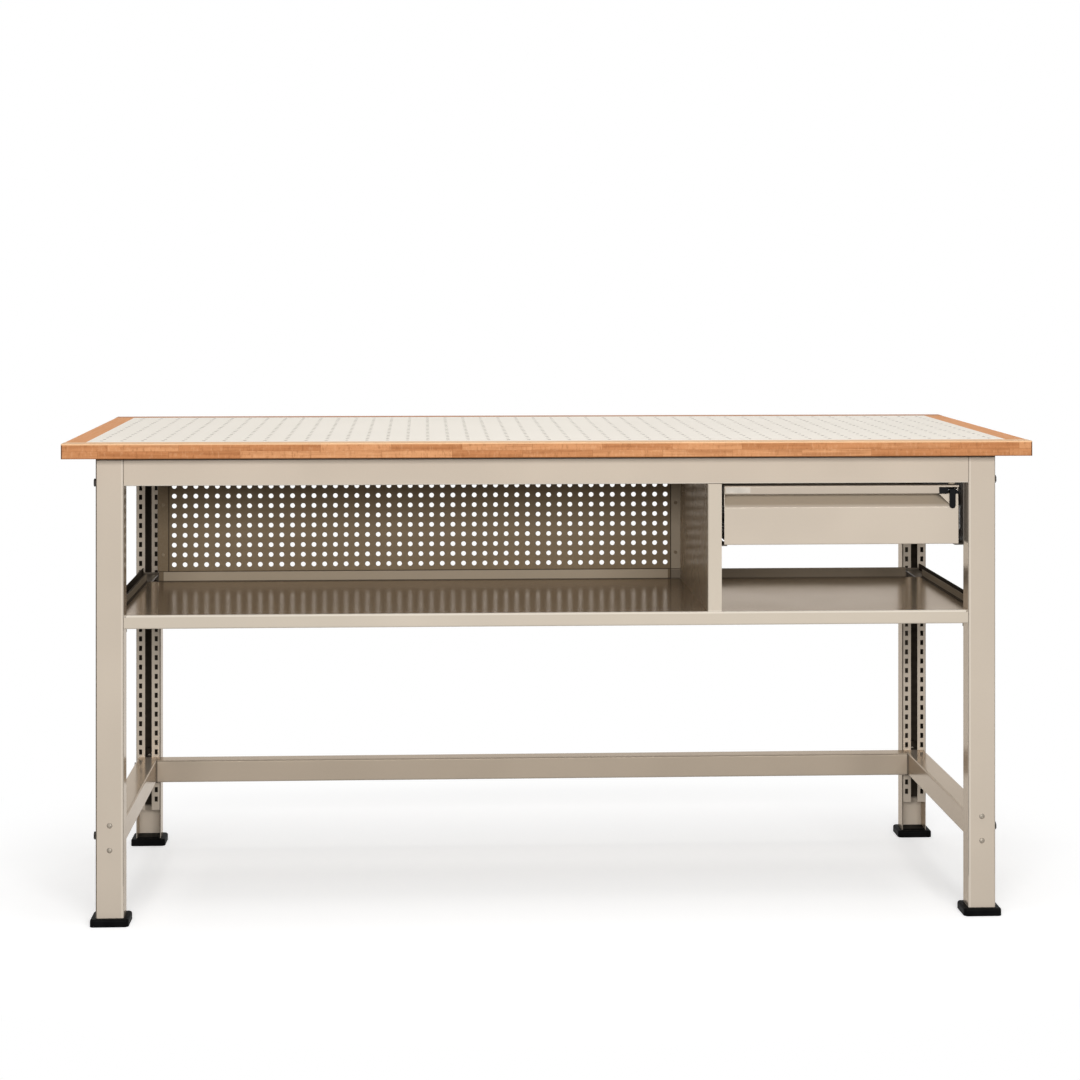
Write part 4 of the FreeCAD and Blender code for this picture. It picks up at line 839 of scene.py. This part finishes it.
@dataclass
class Storage:
    """The shelf, its rails, the back panel, the divider and the drawer's hangers."""

    coat: PowderCoat
    # The hangers' near-black coat is painted shade.
    hangers: PowderCoat = PowderCoat("coat_hanger_painted_shade", (0.10, 0.086, 0.072), roughness=0.35, sheen=0.2)
    # The rails' dark colour is painted shade.
    rail: Colour = (0.17, 0.142, 0.112)
    tab: float = 0.004
    matt: float = 0.08

    def build(self) -> None:
        """Dresses the storage pieces."""
        dress(["shelf", "latch_keeper"], self.coat.material())
        # The panel, divider and screws get darker copies of the coat behind the front, as painted shade.
        panel = replace(self.coat, name="coat_panel", inside=0.265, sheen=self.matt)
        dress(["back_panel", "panel_bracket"], panel.material())
        sides = replace(self.coat, name="coat_divider", roughness=0.27, inside=0.72)
        dress(["divider"], sides.material())
        screws = replace(self.coat, name="coat_screw", inside=0.42, sheen=self.matt)
        dress(["sheet_screws"], screws.material())
        dress(pair("drawer_hanger"), self.hangers.material())
        # Painted shade over the rails' walls.
        low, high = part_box("shelf_rail_right")
        start = (high[0] - self.tab, low[1] + self.tab, low[2])
        wall = Seam(start, (high[0], high[1] - self.tab, high[2]), True)
        rails = replace(self.hangers, name="coat_rail_painted_shade", colour=self.rail, sheen=self.matt, seams=(wall,))
        dress(pair("shelf_rail"), rails.material())

    @staticmethod
    def seams(sheet: float = 0.0015, line: float = 0.0016, lift: float = 0.001,
              strip: float = 0.03) -> Tuple[Seam, ...]:
        """Painted shade and painted highlights along the folds and laps, and painted shade on the upright
        edges that show darker.

        Args:
            sheet: the sheet's thickness.
            line: the width of a line.
            lift: how far the shelf's floor is above the panel's lower edge.
            strip: the width of the divider's rear flange that shows.

        Returns:
            The seams.
        """
        low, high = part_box("shelf")
        top = high[2]
        rear = high[1] - sheet
        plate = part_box("back_panel")[0][2] + lift
        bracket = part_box("panel_bracket")[1][0]
        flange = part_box("divider")[0][0]
        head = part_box("back_panel")[1][2]
        face = rear - line
        corner = (high[0], high[1], top - line)
        inner = high[0] - sheet - 2 * line
        half = line / 2
        # Painted shade at the folds, laps, edges and upstands; a painted highlight along the shelf's front
        # edge.
        return (
            Seam((low[0], face, plate - line), (high[0], rear + line, plate + line)),
            Seam((inner, low[1], plate - line), (high[0], high[1], plate + 2 * line), True),
            Seam((low[0], face, top - half), (high[0], high[1] + line, top + half)),
            Seam((high[0] - 2 * sheet, low[1] + line, plate), corner, True, 0.36),
            Seam((low[0], face, plate + line), corner, strength=0.22),
            Seam((flange, face, plate + line), corner, strength=0.6),
            Seam((low[0], low[1] - line, plate - 2 * line), (high[0], low[1] + 2 * line, plate + line), False,
                 0.6, PAINTED_HIGHLIGHT),
            Seam((bracket - half, rear, top), (bracket + half, high[1] + sheet, head)),
            Seam((flange - half, face, plate), (flange + half, high[1] + sheet, head)),
            Seam((flange, face, top), (flange + strip, high[1] + 2 * sheet, head), strength=0.35),
        )


@dataclass
class Drawer:
    """The drawer, its slides and its blank label."""

    coat: PowderCoat
    recess: PowderCoat
    # The handle rail's darker colour is painted shade.
    handle: Colour = (0.510, 0.440, 0.362)
    steel: Zinc = Zinc("slide_zinc", (0.46, 0.46, 0.45), 0.28)
    label: Moulded = Moulded("label_blank", (0.45, 0.405, 0.345), 0.35, 500.0)

    def build(self) -> None:
        """Dresses the drawer and its slides."""
        dress(["drawer_tray"], self.coat.material())
        dress(["handle_rail"], replace(self.coat, name="coat_handle_painted_shade", colour=self.handle).material())
        dress(["drawer_front"], self.recess.material())
        slides = pair("slide_outer") + pair("slide_middle") + pair("slide_inner")
        dress(slides + pair("ball_cage_outer") + pair("ball_cage_inner"), self.steel.material())
        dress(["label_plate"], self.label.material())


@dataclass
class CoilGroup:
    """A Geometry Nodes group that winds a spring out of like turns of wire."""

    turns: int
    pitch: float
    radius: float
    wire: float
    sides: int = 10
    steps: int = 40

    def tree(self, material: bpy.types.Material) -> Tuple[bpy.types.GeometryNodeTree, Dict[str, str]]:
        """Builds the group.

        Args:
            material: the wire's finish.

        Returns:
            The group, and its inputs' identifiers by name.
        """
        group = bpy.data.node_groups.new("spring_turns", "GeometryNodeTree")
        face = group.interface
        face.new_socket("Geometry", in_out="OUTPUT", socket_type="NodeSocketGeometry")
        keys = {}
        for name in ("Turns", "Pitch", "Radius", "Wire"):
            kind = "NodeSocketInt" if name == "Turns" else "NodeSocketFloat"
            keys[name] = face.new_socket(name, in_out="INPUT", socket_type=kind).identifier
        given = group.nodes.new("NodeGroupInput")
        spiral = group.nodes.new("GeometryNodeCurveSpiral")
        spiral.inputs["Resolution"].default_value = self.steps
        profile = group.nodes.new("GeometryNodeCurvePrimitiveCircle")
        profile.inputs["Resolution"].default_value = self.sides
        height = group.nodes.new("ShaderNodeMath")
        height.operation = "MULTIPLY"
        sweep = group.nodes.new("GeometryNodeCurveToMesh")
        sweep.inputs["Fill Caps"].default_value = True
        smooth = group.nodes.new("GeometryNodeSetShadeSmooth")
        real = group.nodes.new("GeometryNodeRealizeInstances")
        finish = group.nodes.new("GeometryNodeSetMaterial")
        finish.inputs["Material"].default_value = material
        out = group.nodes.new("NodeGroupOutput")
        link = group.links.new
        link(given.outputs["Turns"], spiral.inputs["Rotations"])
        link(given.outputs["Radius"], spiral.inputs["Start Radius"])
        link(given.outputs["Radius"], spiral.inputs["End Radius"])
        link(given.outputs["Turns"], height.inputs[0])
        link(given.outputs["Pitch"], height.inputs[1])
        link(height.outputs[0], spiral.inputs["Height"])
        link(given.outputs["Wire"], profile.inputs["Radius"])
        link(spiral.outputs[0], sweep.inputs["Curve"])
        link(profile.outputs[0], sweep.inputs["Profile Curve"])
        link(sweep.outputs[0], smooth.inputs["Geometry"])
        link(smooth.outputs[0], real.inputs["Geometry"])
        link(real.outputs[0], finish.inputs["Geometry"])
        link(finish.outputs[0], out.inputs[0])
        return group, keys

    def mesh(self, material: bpy.types.Material) -> bpy.types.Mesh:
        """Winds the spring and turns it into a plain mesh along +Z.

        Args:
            material: the wire's finish.

        Returns:
            The mesh.
        """
        holder = bpy.data.objects.new("spring_holder", bpy.data.meshes.new("spring_holder"))
        bpy.context.scene.collection.objects.link(holder)
        group, keys = self.tree(material)
        modifier = holder.modifiers.new("turns", "NODES")
        modifier.node_group = group
        settings = {"Turns": self.turns, "Pitch": self.pitch, "Radius": self.radius, "Wire": self.wire}
        for name, setting in settings.items():
            modifier[keys[name]] = setting
        view = bpy.context.evaluated_depsgraph_get()
        mesh = bpy.data.meshes.new_from_object(holder.evaluated_get(view), depsgraph=view)
        bpy.data.objects.remove(holder)
        return mesh


@dataclass
class Latch:
    """The black latch with its lever, pin and wound spring."""

    plastic: Moulded = Moulded("latch_plastic", (0.003, 0.003, 0.0035), 0.34, sheen=0.06)
    steel: Zinc = Zinc("latch_zinc", (0.56, 0.56, 0.55), 0.3)
    turns: int = 4
    wire: float = 0.00034

    def build(self) -> None:
        """Dresses the latch and winds its spring in place of the plain sleeve."""
        dress(["latch_body", "latch_lever"], self.plastic.material())
        dress(["latch_pin", "latch_spring"], self.steel.material())
        low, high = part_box("latch_spring")
        length = high[0] - low[0]
        radius = (high[2] - low[2]) / 2 - self.wire
        pitch = (length - 2 * self.wire) / self.turns
        mesh = CoilGroup(self.turns, pitch, radius, self.wire).mesh(self.steel.material())
        start = (low[0] + self.wire, (low[1] + high[1]) / 2, (low[2] + high[2]) / 2)
        for vertex in mesh.vertices:
            across, up, along = vertex.co
            vertex.co = (start[0] + along, start[1] + across, start[2] + up)
        spring = bpy.data.objects.new("latch_spring_coil", mesh)
        bpy.context.scene.collection.objects.link(spring)
        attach(spring, "drawer")
        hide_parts("latch_spring")


@dataclass(frozen=True)
class SoftPanel:
    """A soft panel of light."""

    name: str
    place: Point
    target: Point
    size: Tuple[float, float]
    power: float
    mirrored: bool = True

    def build(self) -> None:
        """Hangs the panel and points it at its target."""
        data = bpy.data.lights.new(self.name, "AREA")
        data.shape = "RECTANGLE"
        data.size, data.size_y = self.size
        data.energy = self.power
        lamp = bpy.data.objects.new(self.name, data)
        lamp.location = self.place
        aim = [end - start for start, end in zip(self.place, self.target)]
        flat = math.hypot(aim[0], aim[1])
        lamp.rotation_euler = (math.atan2(flat, -aim[2]), 0.0, math.atan2(-aim[0], aim[1]))
        lamp.visible_glossy = self.mirrored
        bpy.context.scene.collection.objects.link(lamp)


@dataclass
class Studio:
    """Camera, floor, world and soft lights."""

    camera_place: Point = (-0.23453, -4.3894, 1.21853)
    camera_turn: float = -0.04308
    lens: float = 72.47
    sensor: float = 36.0
    slide: float = 0.02034
    drop: float = -0.24978
    ambient: float = 0.12
    floor_size: float = 60.0
    floor_glow: float = 0.50
    floor_near: float = 0.85
    floor_far: float = 1.6
    floor_squeeze: float = 1.6
    floor_sink: float = 0.0003
    floor_dark: Colour = (0.25, 0.25, 0.25)
    floor_pale: Colour = (0.80, 0.80, 0.80)
    floor_bounce: float = 0.3
    panels: Tuple[SoftPanel, ...] = (
        SoftPanel("key", (0.12, -4.3, 1.6), (0.0, 0.0, 0.5), (3.8, 0.9), 166.0),
        SoftPanel("top", (0.0, -0.2, 4.5), (0.0, 0.0, 0.5), (4.0, 3.0), 90.0),
        SoftPanel("rear", (0.6, 4.5, 3.0), (0.0, 0.0, 0.4), (4.0, 1.6), 40.0, mirrored=False),
    )

    def build(self) -> None:
        """Sets up everything round the object."""
        self._camera()
        self._world()
        self._floor()
        for panel in self.panels:
            panel.build()
        bpy.context.scene.view_settings.view_transform = "Standard"

    def _camera(self) -> None:
        """Puts the camera where the photograph was taken."""
        data = bpy.data.cameras.new("camera")
        data.sensor_width = self.sensor
        data.lens = self.lens
        data.shift_x = self.slide
        data.shift_y = self.drop
        camera = bpy.data.objects.new("camera", data)
        camera.location = self.camera_place
        camera.rotation_euler = (math.pi / 2, 0.0, self.camera_turn)
        bpy.context.scene.collection.objects.link(camera)
        bpy.context.scene.camera = camera

    def _world(self) -> None:
        """White to the eye, a softer white as light."""
        world = bpy.data.worlds.new("studio")
        bpy.context.scene.world = world
        world.use_nodes = True
        nodes = world.node_tree.nodes
        nodes.clear()
        path = nodes.new("ShaderNodeLightPath")
        strength = nodes.new("ShaderNodeMapRange")
        strength.inputs["To Min"].default_value = self.ambient
        strength.inputs["To Max"].default_value = 1.0
        back = nodes.new("ShaderNodeBackground")
        back.inputs["Color"].default_value = (1.0, 1.0, 1.0, 1.0)
        out = nodes.new("ShaderNodeOutputWorld")
        link = world.node_tree.links.new
        seen = nodes.new("ShaderNodeMath")
        seen.operation = "MAXIMUM"
        link(path.outputs["Is Camera Ray"], seen.inputs[0])
        link(path.outputs["Is Glossy Ray"], seen.inputs[1])
        link(seen.outputs[0], strength.inputs["Value"])
        link(strength.outputs[0], back.inputs["Strength"])
        link(back.outputs[0], out.inputs[0])

    def _floor(self) -> None:
        """A plain pale floor that keeps the shadow."""
        half = self.floor_size / 2
        mesh = bpy.data.meshes.new("floor")
        corners = [(-half, -half, 0.0), (half, -half, 0.0), (half, half, 0.0), (-half, half, 0.0)]
        mesh.from_pydata(corners, [], [(0, 1, 2, 3)])
        floor = bpy.data.objects.new("floor", mesh)
        floor.location = (0.0, 0.0, -self.floor_sink)
        bpy.context.scene.collection.objects.link(floor)
        tree = ShaderTree("floor_white")
        x, y, _ = tree.axes(tree.place())
        deep = y * self.floor_squeeze
        far = (x * x + deep * deep).power(0.5).ramp(self.floor_near, self.floor_far)
        path = tree.node("ShaderNodeLightPath", {}, {}).outputs
        rays = {0: path["Is Camera Ray"], 1: path["Is Glossy Ray"]}
        seen = tree.value("ShaderNodeMath", {"operation": "MAXIMUM"}, rays)
        matt = tree.node("ShaderNodeBsdfPrincipled", {}, {
            "Base Color": tree.mixed(seen, self.floor_dark, self.floor_pale), "Roughness": 0.9,
            "Specular IOR Level": 0.0, "Emission Color": (1.0, 1.0, 1.0, 1.0),
            "Emission Strength": seen * self.floor_glow})
        glow = tree.node("ShaderNodeEmission", {}, {"Strength": seen.ramp(0.0, 1.0, self.floor_bounce, 1.0)})
        both = tree.node("ShaderNodeMixShader", {}, {0: far, 1: matt.outputs[0], 2: glow.outputs[0]})
        tree.node("ShaderNodeOutputMaterial", {}, {"Surface": both.outputs[0]})
        mesh.materials.append(tree.material)


def main() -> None:
    """Dresses the bench, adds what the CAD model only stands in for and sets the stage."""
    logging.basicConfig(level=logging.INFO)
    # The frame's coat carries painted shade inside the legs and along seams, and painted highlights on some
    # bends.
    coat = PowderCoat("coat_greige", GREIGE, hollow=LegHollow.from_frame(), burnish=0.45,
                      tint=(0.70, 0.58, 0.44), seams=SteelFrame.seams())
    # The drawer front's recess is darker as painted shade.
    recess = PowderCoat("coat_recess_painted_shade", GREIGE, inside=0.68, front=-0.3155)
    # A darker copy of the frame's coat, as painted shade on the rear stretcher.
    shaded = replace(coat, name="coat_rear_painted_shade", colour=(0.505, 0.420, 0.330))
    # The shelf's coat is darker behind its front edge, as painted shade.
    inner = PowderCoat("coat_shelf", (0.615, 0.540, 0.445), sheen=0.22, peel_depth=0.00001, inside=0.64,
                       burnish=0.42, tint=(0.66, 0.51, 0.35), seams=Storage.seams())
    pieces = (Worktop(), SteelFrame(coat, shaded), Storage(inner), Drawer(coat, recess), Latch(), Studio())
    for piece in pieces:
        piece.build()
        LOG.info("built %s", type(piece).__name__)


if __name__ == "__main__":
    main()
